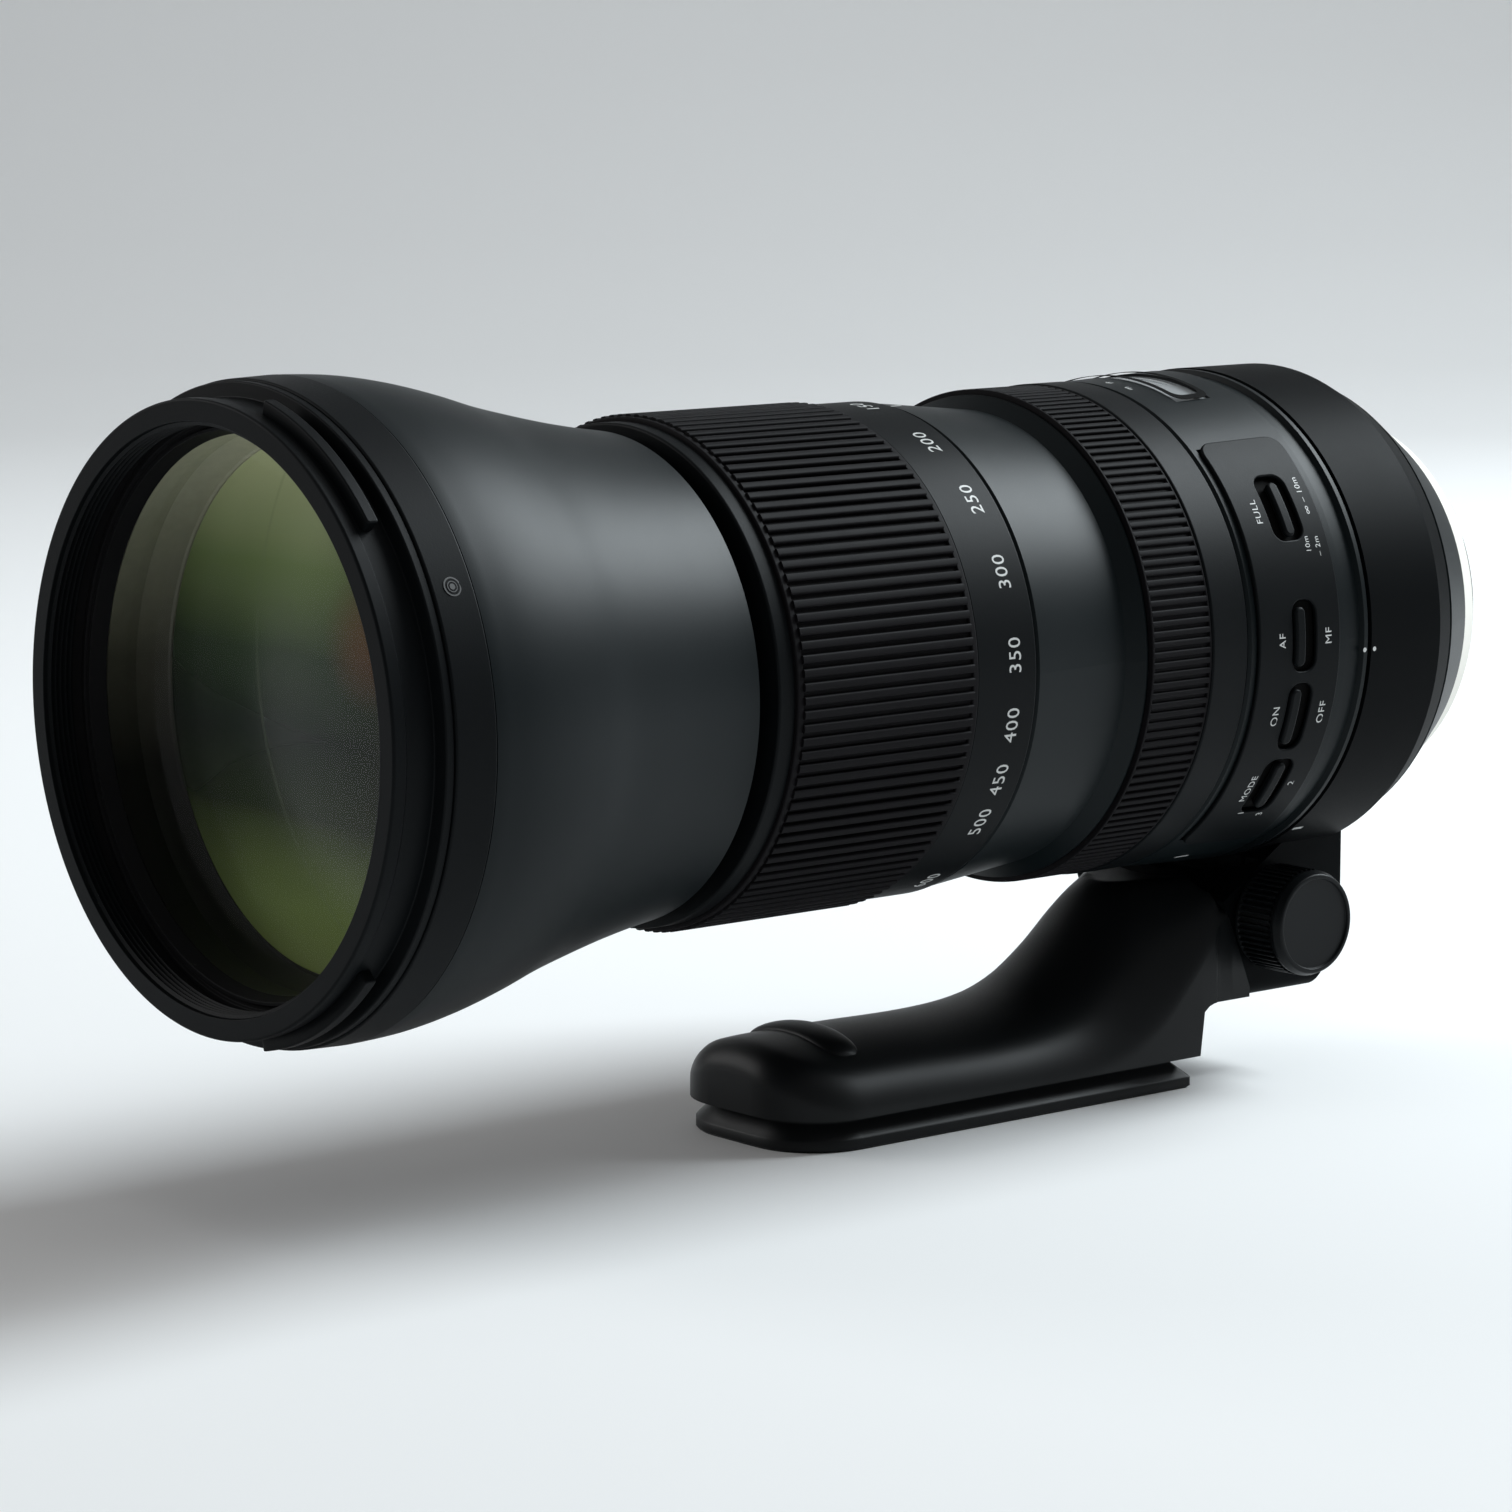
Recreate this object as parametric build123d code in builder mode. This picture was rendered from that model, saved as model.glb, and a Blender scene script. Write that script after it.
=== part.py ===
from build123d import *
import math
import os

# A telephoto zoom lens on a rotating tripod collar, in millimetres.
# The optical axis is Y with the camera flange at zero and the front of the lens towards -Y.
# Z is up and X points to the lens's left side. A clock angle turns about the axis from +Z to +X.

# Lengths of the outside sections, from the camera flange forwards
skirt_length = 5.8
taper_length = 11.5
collar_length = 23.7
switch_length = 29.4
focus_length = 23.8
barrel_length = 25.8
scale_length = 13.8
rubber_length = 39.8
lip_length = 3.4
neck_length = 3.2
flare_length = 62.4
band_length = 7.7
filter_length = 9.9

# Outside radii
rim_radius = 51.3
filter_rear_radius = 53.6
band_radius = 54.2
neck_radius = 41.8
lip_radius = 42.9
rubber_radius = 44.1
scale_radius = 43.5
barrel_front_radius = 43.2
barrel_waist_radius = 40.9
focus_rubber_radius = 44.3
focus_band_radius = 44.5
switch_front_radius = 44.4
switch_rear_radius = 45.3
collar_radius = 45.5
collar_end_radius = 43.1
taper_start_radius = 42.8
taper_radius = 36.0
skirt_radius = 34.4

# Gaps and small sizes that many pieces share
running_gap = 0.08
free_gap = 0.3
edge_chamfer = 0.5
seam = 0.5
overrun = 2.0

# Zoom works: tubes inside one another, and the cam that moves them
extension_radius = 37.0
tube_wall = 1.4
guide_wall = 1.3
sleeve_wall = 1.3
zoom_turn = 145.0
zoom_travel = 75.0
group_travel = 40.0
roller_radius = 2.0
roller_stem_radius = 1.2
slot_gap = 0.15
roller_count = 3
front_roller_clock = 60.0
group_roller_clock = 82.0
works_length = 20.9
roller_inset = 5.4
tube_tail = 32.5
tube_reach = 18.0
tube_collar_length = 9.0
lip_wall = 1.0
seal_gap = 0.8
land_front = 1.3
land_length = 2.0
rib_base = 0.9
zoom_rib_count = 120
zoom_rib_width = 1.35
rubber_wall = 1.5
rubber_border = 1.3
rubber_border_drop = 0.45

# Front group
thread_radius = 46.96
thread_length = 5.6
rim_chamfer = 0.7
track_depth = 2.6
track_front = 2.4
track_rear = 1.7
lug_length = 2.2
lug_front = 3.5
lug_height = 2.3
lug_clock = 31.5
lug_arc = 35.0
lug_count = 3
cell_radius = 50.3
cell_flange_radius = 51.9
cell_flange_length = 2.6
barrel_wall = 1.8
barrel_lip = 2.0
front_lens_radius = 48.0
front_lens_edge = 3.5
front_lens_inset = 5.9
front_curve = 210.0
front_back_curve = 600.0
retainer_bore = 45.2
retainer_length = 2.9
retainer_gap = 0.7
retainer_thread_radius = 48.6
doublet_radius = 47.2
doublet_gap = 1.0
doublet_curve = 260.0
doublet_joint_curve = 160.0
doublet_back_curve = 400.0
second_lens_middle = 3.0
third_lens_middle = 16.1
cell_ledge = 45.8
cell_tail = 1.5

# Moving zoom group behind the front group
group_cell_length = 14.0
group_cell_front = 6.3
group_lens_radius = 29.0
group_lens_edge = 3.0
group_lens_curve = 95.0
group_ledge = 27.4
group_ledge_length = 1.2

# Focus works
focus_turn = 75.0
focus_travel = 12.0
focus_shoulder = 0.3
focus_shoulder_radius = 43.3
focus_shoulder_run = 3.1
focus_band_length = 9.1
spigot_radius = 40.9
focus_rib_count = 154
focus_rib_width = 1.05
focus_rubber_wall = 1.1
focus_rubber_border = 0.4
focus_rib_height = 0.6
focus_sleeve_wall = 0.8
focus_sleeve_length = 14.0
motor_radius = 40.8
motor_front = 0.8
stator_length = 4.4
stator_tooth_count = 36
stator_tooth_depth = 1.4
stator_tooth_gap = 1.6
drive_ring_length = 6.6
drive_disc = 1.2
drive_hub_wall = 0.9
key_clock = 20.0
focus_key_width = 5.0
focus_key_length = 3.6
focus_key_inset = 1.2
cam_wall = 1.3
focus_tube_radius = 32.9
focus_tube_wall = 1.3
focus_tube_front = 12.6
focus_cam_front = 10.1
focus_roller_clock = 40.0
focus_cell_length = 10.0
focus_roller_rest = 6.6
focus_lens_radius = 27.0
focus_lens_middle = 1.6
focus_ledge = 25.5
drum_radius = 42.6
drum_wall = 0.7
drum_length = 13.6
bulkhead = 2.0
bulkhead_station = 51.0

# Switch section
switch_bore = 42.9
panel_floor = 44.0
panel_rise = 0.7
panel_front = 1.7
panel_rear = 8.1
panel_top_clock = 40.0
panel_bottom_clock = 145.0
panel_corner = 3.0
groove_front = 6.2
groove_rear = 1.4
groove_depth = 0.9
switch_inset = 12.6
switch_floor = 43.5
slider_thickness = 0.42
slider_gap = 0.05
slider_length = 8.0
slider_arc = 14.4
switch_slot_arc = 12.8
switch_slot_extra = 0.9
switch_knob_length = 3.0
switch_knob_arc = 11.2
switch_knob_rise = 0.9
switch_two_travel = 2.6
switch_three_travel = 2.0
limiter_clock = 58.8
focus_mode_clock = 88.0
stabiliser_clock = 106.5
stabiliser_mode_clock = 125.0
window_front = 8.4
window_length = 8.4
window_arc = 44.0
window_ledge = 0.6
window_ledge_arc = 1.5
window_glass = 1.0
window_recess = 0.15

# Zoom lock switch on the right side of the main barrel
lock_clock = 270.0
lock_inset = 14.5
lock_floor = 40.9
lock_pocket_length = 12.0
lock_pocket_arc = 14.0
lock_knob_length = 6.0
lock_knob_arc = 12.6
lock_knob_rise = 0.7
lock_travel = 3.0
lock_bar_length = 1.8

# Stabiliser and diaphragm in one housing
housing_radius = 36.4
housing_bore = 33.0
housing_front = 1.2
housing_window = 20.0
housing_rear_station = 29.5
guide_plate_radius = 30.8
guide_plate_bore = 15.5
guide_plate_thickness = 1.2
plate_gap = 0.4
stabiliser_cell_radius = 28.5
stabiliser_cell_length = 3.2
stabiliser_lens_radius = 13.0
stabiliser_lens_curve = 60.0
stabiliser_lens_middle = 4.2
stabiliser_pad_radius = 4.2
stabiliser_pad_ring = 21.5
stabiliser_pad_height = 1.0
iris_plate = 1.0
iris_plate_station = 42.2
iris_bore = 14.6
blade_count = 7
blade_thickness = 0.3
blade_pitch = 0.6
blade_inner = 14.3
blade_outer = 20.4
blade_pivot_ring = 24.0
blade_start = 14.0
blade_arc = 108.0
blade_turn = 26.0
blade_arm_width = 2.6
blade_pin_radius = 0.6
blade_boss_radius = 1.6
drive_pin_out = 0.8
drive_pin_back = 4.4
iris_turn = 20.0
iris_ring_bore = 15.0
iris_ring_radius = 32.6
iris_ring_thickness = 1.2

# Rear end
rear_wall = 1.6
rear_spigot_length = 5.7
rim_gap = 0.3
bearing_radius = 42.2
rear_cell_radius = 27.0
rear_cell_wall = 3.0
rear_cell_tail = 6.0
rear_flange = 1.5
rear_lens_radius = 20.0
rear_lens_curve = 70.0
rear_lens_edge = 2.0
rear_lens_count = 3
board_inner = 30.5
board_thickness = 1.4
board_station = 24.0
board_arc = 250.0
board_clock = 235.0
chip_size = 5.0
chip_height = 1.2
rear_plate = 2.0
rear_plate_bore = 28.2
skirt_bore = 28.2
mount_plate = 1.5
mount_radius = 33.2
mount_bore = 22.5
register_radius = 27.0
register_length = 1.9
mount_depth = 5.6
tab_radius = 26.9
tab_inner_radius = 24.6
tab_length = 1.5
tab_arc = 48.0
tab_count = 3
tab_clock = 60.0
screw_ring = 30.4
screw_count = 4
screw_clock = 45.0
screw_radius = 0.8
screw_head_radius = 1.6
screw_head_height = 0.9
screw_length = 5.4
screw_hole_radius = 1.1
lock_hole_radius = 1.7
lock_hole_clock = 90.0
contact_arc = 60.0
contact_clock = 180.0
contact_wall = 2.4
contact_front = 0.6
contact_length = 3.4
pad_count = 8
pad_radius = 0.75
pad_pitch = 6.6
pad_height = 0.35

# Collar, lock knob and foot
collar_bore_gap = 0.08
boss_half_width = 19.5
boss_bottom = 69.0
boss_rear_inset = 2.9
collar_taper = 5.2
boss_rear_height = 9.0
boss_rear_run = 6.5
boss_edge = 2.4
seam_top_station = 52.9
seam_bottom_station = 43.6
seam_top_height = 46.0
slope_top_station = 33.0
slope_top_height = 39.0
slope_bottom_height = 51.7
relief_gap = 0.9
slit_place = 14.0
slit_width = 1.2
knob_station = 39.7
knob_height = 54.2
knob_radius = 9.9
knob_length = 12.0
knob_gap = 0.5
knob_face_length = 2.0
knob_face_drop = 0.6
knob_flute_count = 48
knob_flute_radius = 0.35
knob_screw_radius = 3.0
knob_screw_reach = 7.0
foot_front_station = 152.2
foot_rear_station = 57.0
foot_half_width = 20.0
foot_step = 78.4
foot_bottom = 84.2
foot_corner = 14.0
foot_edge = 5.0
foot_tip_height = 66.0
foot_rear_radius = 4.0
rail_half_width = 19.0
rail_inset = 1.0
rail_edge = 2.0
rail_slope = 2.6
bump_station = 135.5
bump_half_width = 4.5
bump_half_height = 1.9
bump_height = 66.3
bump_curve = 30.0
bump_arc = 52.0
small_socket_radius = 2.55
large_socket_radius = 4.0
socket_depth = 9.0
small_socket_station = 124.0
large_socket_station = 102.0
foot_screw_radius = 2.5
foot_screw_head_radius = 4.2
foot_screw_head_height = 5.0
foot_screw_hex = 2.3
foot_screw_hex_depth = 2.5
foot_screw_station = 30.0
foot_screw_length = 32.0
foot_screw_height = 61.4
foot_screw_places = (-12.5, 1.5)

# Sections of the foot from its seam forwards: how far in front of the flange each one lies, and how far
# below the axis its arched top and its shoulders are
foot_sections = [
    (40.0, 44.0, 45.5),
    (52.0, 44.0, 51.0),
    (62.0, 45.0, 59.5),
    (70.0, 47.0, 66.0),
    (77.0, 53.4, 70.6),
    (85.0, 60.2, 73.2),
    (94.0, 64.4, 73.8),
    (106.0, 66.3, 73.7),
    (128.0, 66.2, 73.1),
    (144.0, 66.3, 73.0),
    (152.2, 67.0, 73.4),
]

# Stations along the axis, all behind zero at the camera flange
y_skirt = -skirt_length
y_taper = y_skirt - taper_length
y_collar = y_taper - collar_length
y_switch = y_collar - switch_length
y_focus = y_switch - focus_length
y_barrel = y_focus - barrel_length
y_scale = y_barrel - scale_length
y_rubber = y_scale - rubber_length
y_grip = y_rubber - lip_length
y_neck = y_grip - neck_length
y_flare = y_neck - flare_length
y_band = y_flare - band_length
y_rim = y_band - filter_length

# Radii of the tubes, each from the one inside it
extension_bore = extension_radius - tube_wall
guide_bore = extension_radius + running_gap
guide_radius = guide_bore + guide_wall
sleeve_bore = guide_radius + running_gap
sleeve_radius = sleeve_bore + sleeve_wall
grip_bore = sleeve_radius + running_gap
barrel_bore = sleeve_radius + 2 * running_gap
slot_half = roller_radius + slot_gap

os.makedirs("parts", exist_ok=True)


def save(piece, name):
    """Label a finished piece and write it."""
    piece.part.label = name
    export_step(piece.part, f"parts/{name}.step")


def clock_point(radius, clock):
    """The X and Z of a point at a radius and a clock angle."""
    angle = math.radians(clock)
    return radius * math.sin(angle), radius * math.cos(angle)


def meridian(clock):
    """The half plane through the axis at a clock angle, with radius and station as its coordinates."""
    x, z = clock_point(1, clock)
    return Plane(origin=(0, 0, 0), x_dir=(x, 0, z), z_dir=(-z, 0, x))


def cross_plane(station, clock=0):
    """A plane across the axis that faces forwards, with its x direction at a clock angle."""
    x, z = clock_point(1, clock)
    return Plane(origin=(0, station, 0), x_dir=(x, 0, z), z_dir=(0, -1, 0))


def radial_plane(radius, station, clock):
    """A plane that faces away from the axis, with its x direction along the axis."""
    x, z = clock_point(1, clock)
    return Plane(origin=(radius * x, station, radius * z), x_dir=(0, 1, 0), z_dir=(x, 0, z))


def turn_outline(outline, clock=90, arc=360, mode=Mode.ADD):
    """Revolve a closed outline of (radius, station) corners, from a clock angle over an arc."""
    with BuildSketch(meridian(clock)) as profile:
        with BuildLine():
            Polyline(*outline, close=True)
        make_face()
    revolve(profile.sketch, axis=Axis.Y, revolution_arc=arc, mode=mode)


def turn_box(inner, outer, front, rear, clock=90, arc=360, mode=Mode.ADD):
    """A ring or a sector of a ring between two radii and two stations."""
    turn_outline([(inner, front), (outer, front), (outer, rear), (inner, rear)], clock, arc, mode)


def centred_box(inner, outer, front, rear, clock, arc, mode=Mode.ADD):
    """A sector of a ring that is centred on a clock angle."""
    turn_box(inner, outer, front, rear, clock - arc / 2, arc, mode)


def radial_pin(radius, inner, outer, station, clock, mode=Mode.ADD):
    """A round pin or hole that points away from the axis."""
    with BuildSketch(radial_plane(inner, station, clock)) as profile:
        Circle(radius)
    extrude(profile.sketch, amount=outer - inner, mode=mode)


def straight_slot(half, inner, outer, front, rear, clock, mode=Mode.SUBTRACT):
    """A slot with round ends along the axis, from front to rear between the centres of its ends."""
    with BuildSketch(radial_plane(inner, (front + rear) / 2, clock)) as profile:
        SlotCenterToCenter(rear - front, 2 * half)
    extrude(profile.sketch, amount=outer - inner, mode=mode)


def helical_slot(half, inner, outer, station, clock, turn, travel):
    """Cuts a slot that climbs along the axis by travel while its clock angle grows by turn."""
    length = abs(travel)
    x, z = clock_point(1, clock)
    frame = Plane(origin=(0, station, 0), x_dir=(x, 0, z), z_dir=(0, travel, 0))
    with BuildLine() as helix:
        Helix(pitch=length * 360 / turn, height=length, radius=(inner + outer) / 2, lefthand=travel < 0)
    path = frame.from_local_coords(helix.line)
    with BuildPart() as cutter:
        with BuildSketch(Plane(origin=path @ 0, x_dir=(x, 0, z), z_dir=path % 0)) as section:
            Rectangle(outer - inner, 2 * half)
        sweep(sections=section.sketch, path=path, is_frenet=True)
    add(cutter.part, mode=Mode.SUBTRACT)
    radial_pin(half, inner, outer, station, clock, Mode.SUBTRACT)
    radial_pin(half, inner, outer, station + travel, clock + turn, Mode.SUBTRACT)


def roller_clocks(first):
    """The clock angles of evenly spaced rollers."""
    return [first + 360 * turn / roller_count for turn in range(roller_count)]


def sag(curve, radius):
    """How far a spherical surface falls back from its middle at a radius."""
    return curve - math.sqrt(curve**2 - radius**2)


def lens_surface(radius, middle, edge_sag):
    """One surface of a lens as a line from its middle to its edge."""
    edge = (radius, middle + edge_sag)
    if edge_sag == 0:
        Line((0, middle), edge)
    else:
        ThreePointArc((0, middle), (radius / 2, middle + quarter_sag(edge_sag, radius)), edge)


def lens_solid(radius, front_middle, front_sag, rear_middle, rear_sag):
    """A lens from the stations of its middles and how far each surface moves back at the edge."""
    with BuildSketch(meridian(90)) as profile:
        with BuildLine():
            Line((0, rear_middle), (0, front_middle))
            lens_surface(radius, front_middle, front_sag)
            Line((radius, front_middle + front_sag), (radius, rear_middle + rear_sag))
            lens_surface(radius, rear_middle, rear_sag)
        make_face()
    revolve(profile.sketch, axis=Axis.Y)


def quarter_sag(edge_sag, radius):
    """The fall of the same spherical surface at half the radius, with its sign."""
    depth = abs(edge_sag)
    curve = (radius**2 + depth**2) / (2 * depth)
    return math.copysign(sag(curve, radius / 2), edge_sag)


# Front group: filter ring, hood band, flared barrel and the cell with its lenses

y_thread_end = y_rim + thread_length
track_radius = filter_rear_radius - track_depth

with BuildPart() as filter_ring:
    turn_outline([
        (thread_radius, y_rim + rim_chamfer),
        (thread_radius + rim_chamfer, y_rim),
        (rim_radius - edge_chamfer, y_rim),
        (rim_radius, y_rim + edge_chamfer),
        (rim_radius, y_rim + track_front),
        (track_radius, y_rim + track_front + edge_chamfer),
        (track_radius, y_band - track_rear - edge_chamfer),
        (filter_rear_radius, y_band - track_rear),
        (filter_rear_radius, y_band - edge_chamfer),
        (filter_rear_radius - edge_chamfer, y_band),
        (cell_radius, y_band),
        (cell_radius, y_thread_end),
        (thread_radius, y_thread_end),
    ])
    for turn in range(lug_count):
        centred_box(track_radius - edge_chamfer, track_radius + lug_height, y_rim + lug_front,
                    y_rim + lug_front + lug_length, lug_clock + 360 * turn / lug_count, lug_arc)
save(filter_ring, "filter_ring")

y_cell_flange = y_flare - cell_flange_length
with BuildPart() as hood_band:
    turn_outline([
        (cell_radius, y_band),
        (filter_rear_radius - edge_chamfer, y_band),
        (band_radius - running_gap, y_band + edge_chamfer),
        (band_radius, y_flare - edge_chamfer),
        (band_radius - edge_chamfer, y_flare),
        (cell_flange_radius, y_flare),
        (cell_flange_radius, y_cell_flange),
        (cell_radius, y_cell_flange),
    ])
save(hood_band, "hood_band")

# Shares of the flare's length and of its fall in radius, along its S-shaped side
flare_shares = [(0.13, 0.96), (0.38, 0.70), (0.64, 0.345), (0.87, 0.10)]
tube_collar_radius = neck_radius - barrel_wall


def flare_side(inset, front):
    """Points down the flared side, set in by a wall."""
    fall = band_radius - neck_radius
    middle = [(neck_radius + fall * drop - inset, y_flare + flare_length * run) for run, drop in flare_shares]
    return [(band_radius - inset, front)] + middle + [(neck_radius - inset, y_neck)]


with BuildPart() as flared_barrel:
    with BuildSketch(meridian(90)) as profile:
        with BuildLine():
            outside = flare_side(0, y_flare)
            inside = flare_side(barrel_wall, y_flare + barrel_lip)
            Spline(*outside, tangents=[(-neck_length, flare_length), (-neck_length, taper_length)])
            Line(outside[-1], inside[-1])
            Spline(*reversed(inside), tangents=[(neck_length, -taper_length), (neck_length, -flare_length)])
            Polyline(inside[0], (cell_radius, y_flare + barrel_lip), (cell_radius, y_flare), outside[0])
        make_face()
    revolve(profile.sketch, axis=Axis.Y)
save(flared_barrel, "flared_barrel")

# The front lens lies on a ledge of the cell, under the retaining ring
y_lens_front_edge = y_thread_end + front_lens_inset
y_front_lens = y_lens_front_edge - sag(front_curve, front_lens_radius)
y_lens_rear_edge = y_lens_front_edge + front_lens_edge
y_front_lens_back = y_lens_rear_edge - sag(front_back_curve, front_lens_radius)
y_second_lens = y_front_lens_back + doublet_gap
y_third_lens = y_second_lens + second_lens_middle
y_third_back = y_third_lens + third_lens_middle
y_doublet_front = y_second_lens + sag(doublet_curve, doublet_radius)
y_doublet_rear = y_third_back - sag(doublet_back_curve, doublet_radius)

y_front_seat = y_second_lens + sag(doublet_curve, cell_ledge) - slider_gap
y_rear_seat = y_third_back - sag(doublet_back_curve, cell_ledge) + slider_gap

with BuildPart() as front_cell:
    turn_outline([
        (retainer_thread_radius, y_thread_end),
        (cell_radius, y_thread_end),
        (cell_radius, y_cell_flange),
        (cell_flange_radius, y_cell_flange),
        (cell_flange_radius, y_flare),
        (cell_radius, y_flare),
        (cell_radius, y_doublet_rear + cell_tail),
        (cell_ledge, y_doublet_rear + cell_tail),
        (cell_ledge, y_rear_seat),
        (doublet_radius, y_doublet_rear),
        (doublet_radius, y_doublet_front),
        (cell_ledge, y_front_seat),
        (cell_ledge, y_lens_rear_edge),
        (front_lens_radius, y_lens_rear_edge),
        (front_lens_radius, y_lens_front_edge),
        (retainer_thread_radius, y_lens_front_edge),
    ])
save(front_cell, "front_cell")

with BuildPart() as front_lens:
    lens_solid(front_lens_radius, y_front_lens, sag(front_curve, front_lens_radius),
               y_front_lens_back, sag(front_back_curve, front_lens_radius))
save(front_lens, "front_lens")

y_retainer_rear = y_front_lens + sag(front_curve, retainer_bore) - running_gap
with BuildPart() as front_retainer:
    turn_outline([
        (retainer_bore, y_retainer_rear),
        (retainer_bore + retainer_gap, y_retainer_rear - retainer_length),
        (retainer_thread_radius, y_retainer_rear - retainer_length),
        (retainer_thread_radius, y_retainer_rear),
    ])
save(front_retainer, "front_retainer")

with BuildPart() as doublet:
    lens_solid(doublet_radius, y_second_lens, sag(doublet_curve, doublet_radius),
               y_third_lens, sag(doublet_joint_curve, doublet_radius))
    second_lens = doublet.part
with BuildPart() as third:
    lens_solid(doublet_radius, y_third_lens, sag(doublet_joint_curve, doublet_radius),
               y_third_back, -sag(doublet_back_curve, doublet_radius))
doublet_pair = Compound(children=[second_lens.solid(), third.part.solid()])
doublet_pair.label = "cemented_doublet"
export_step(doublet_pair, "parts/cemented_doublet.step")

# Zoom works: the extension tube rides in the guide barrel and the cam sleeve turns round both

y_works = y_switch - works_length
y_roller = y_works - roller_inset
y_tube_front = y_neck - tube_reach
y_tube_rear = y_roller + tube_tail
y_works_front = y_grip + lip_wall + seal_gap

with BuildPart() as extension_tube:
    turn_box(extension_bore, extension_radius, y_tube_front, y_tube_rear)
    turn_box(extension_radius, tube_collar_radius, y_neck - tube_collar_length, y_neck)
    for clock in roller_clocks(group_roller_clock):
        straight_slot(slot_half, extension_bore - overrun, extension_radius + overrun,
                      y_roller, y_tube_rear + overrun, clock)
    for clock in roller_clocks(front_roller_clock):
        radial_pin(roller_stem_radius, extension_bore - overrun, extension_radius + overrun,
                   y_roller, clock, Mode.SUBTRACT)
save(extension_tube, "extension_tube")

with BuildPart() as front_cam_rollers:
    for clock in roller_clocks(front_roller_clock):
        radial_pin(roller_radius, extension_radius, sleeve_radius - slot_gap, y_roller, clock)
        radial_pin(roller_stem_radius, extension_bore, extension_radius, y_roller, clock)
save(front_cam_rollers, "front_cam_rollers")

y_sleeve_rear = y_works - land_front - seam
with BuildPart() as zoom_cam_sleeve:
    turn_box(sleeve_bore, sleeve_radius, y_works_front, y_sleeve_rear)
    for clock in roller_clocks(front_roller_clock):
        helical_slot(slot_half, sleeve_bore - overrun, sleeve_radius + overrun,
                     y_roller, clock, zoom_turn, -zoom_travel)
    for clock in roller_clocks(group_roller_clock):
        helical_slot(slot_half, sleeve_bore - overrun, sleeve_radius + overrun,
                     y_roller, clock, zoom_turn, -group_travel)
save(zoom_cam_sleeve, "zoom_cam_sleeve")

rubber_seat = rubber_radius - rubber_wall
y_grip_rear = y_barrel - seam
with BuildPart() as zoom_grip_sleeve:
    turn_outline([
        (extension_radius + free_gap, y_grip),
        (lip_radius - edge_chamfer, y_grip),
        (lip_radius, y_grip + edge_chamfer),
        (lip_radius, y_rubber),
        (rubber_seat, y_rubber),
        (rubber_seat, y_scale),
        (scale_radius, y_scale),
        (scale_radius, y_grip_rear - edge_chamfer),
        (scale_radius - edge_chamfer, y_grip_rear),
        (grip_bore, y_grip_rear),
        (grip_bore, y_grip + lip_wall),
        (extension_radius + free_gap, y_grip + lip_wall),
    ])
save(zoom_grip_sleeve, "zoom_grip_sleeve")


def ribbed_band(seat, base, top, front, rear, border, border_radius, count, width):
    """A rubber band with ribs along the axis between two plain borders."""
    with BuildSketch(cross_plane(rear)) as ring:
        Circle(base)
        Circle(seat, mode=Mode.SUBTRACT)
    extrude(ring.sketch, amount=rear - front)
    with BuildSketch(cross_plane(rear - border)) as ribs:
        with PolarLocations((base + top) / 2 - running_gap, count):
            Rectangle(top - base + 2 * running_gap, width)
    extrude(ribs.sketch, amount=rear - front - 2 * border)
    for start in (front, rear - border):
        turn_box(seat, border_radius, start, start + border)


with BuildPart() as zoom_rubber:
    ribbed_band(rubber_seat, rubber_radius - rib_base, rubber_radius, y_rubber, y_scale, rubber_border,
                rubber_radius - rubber_border_drop, zoom_rib_count, zoom_rib_width)
save(zoom_rubber, "zoom_rubber")

# The second zoom group slides in the bore of the extension tube
group_cell_radius = extension_bore - running_gap
y_group_front = y_roller - group_cell_front
y_group_rear = y_group_front + group_cell_length
group_sag = sag(group_lens_curve, group_lens_radius)
y_group_ledge = y_group_front + edge_chamfer + group_lens_edge + group_sag

with BuildPart() as zoom_group_cell:
    turn_outline([
        (group_lens_radius, y_group_front),
        (group_cell_radius, y_group_front),
        (group_cell_radius, y_group_rear),
        (group_lens_radius, y_group_rear),
        (group_lens_radius, y_group_ledge + group_ledge_length),
        (group_ledge, y_group_ledge + group_ledge_length),
        (group_ledge, y_group_ledge),
        (group_lens_radius, y_group_ledge),
    ])
    for clock in roller_clocks(group_roller_clock):
        radial_pin(roller_radius, group_cell_radius - slot_half, sleeve_radius - slot_gap, y_roller, clock)
save(zoom_group_cell, "zoom_group_cell")

y_group_lens_rear = y_group_ledge + group_ledge_length
with BuildPart() as group_front_lens:
    lens_solid(group_lens_radius, y_group_front + edge_chamfer, 0, y_group_ledge - group_sag, group_sag)
with BuildPart() as group_rear_lens:
    rear_sag = (group_cell_length + y_group_front - y_group_lens_rear) / 2
    lens_solid(group_lens_radius, y_group_lens_rear + rear_sag, -rear_sag, y_group_rear - edge_chamfer, 0)
group_lenses = Compound(children=[group_front_lens.part.solid(), group_rear_lens.part.solid()])
group_lenses.label = "zoom_group_lenses"
export_step(group_lenses, "parts/zoom_group_lenses.step")

# Fixed barrels: the slotted guide barrel inside and the satin main barrel round it
y_bulkhead = -bulkhead_station
y_land = y_works - land_front
y_drive = y_bulkhead - bulkhead - free_gap - drive_ring_length
y_key = y_drive + focus_key_inset
key_half_angle = math.degrees(focus_key_width / 2 / guide_bore)
window_margin = math.degrees(free_gap / guide_bore)

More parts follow.
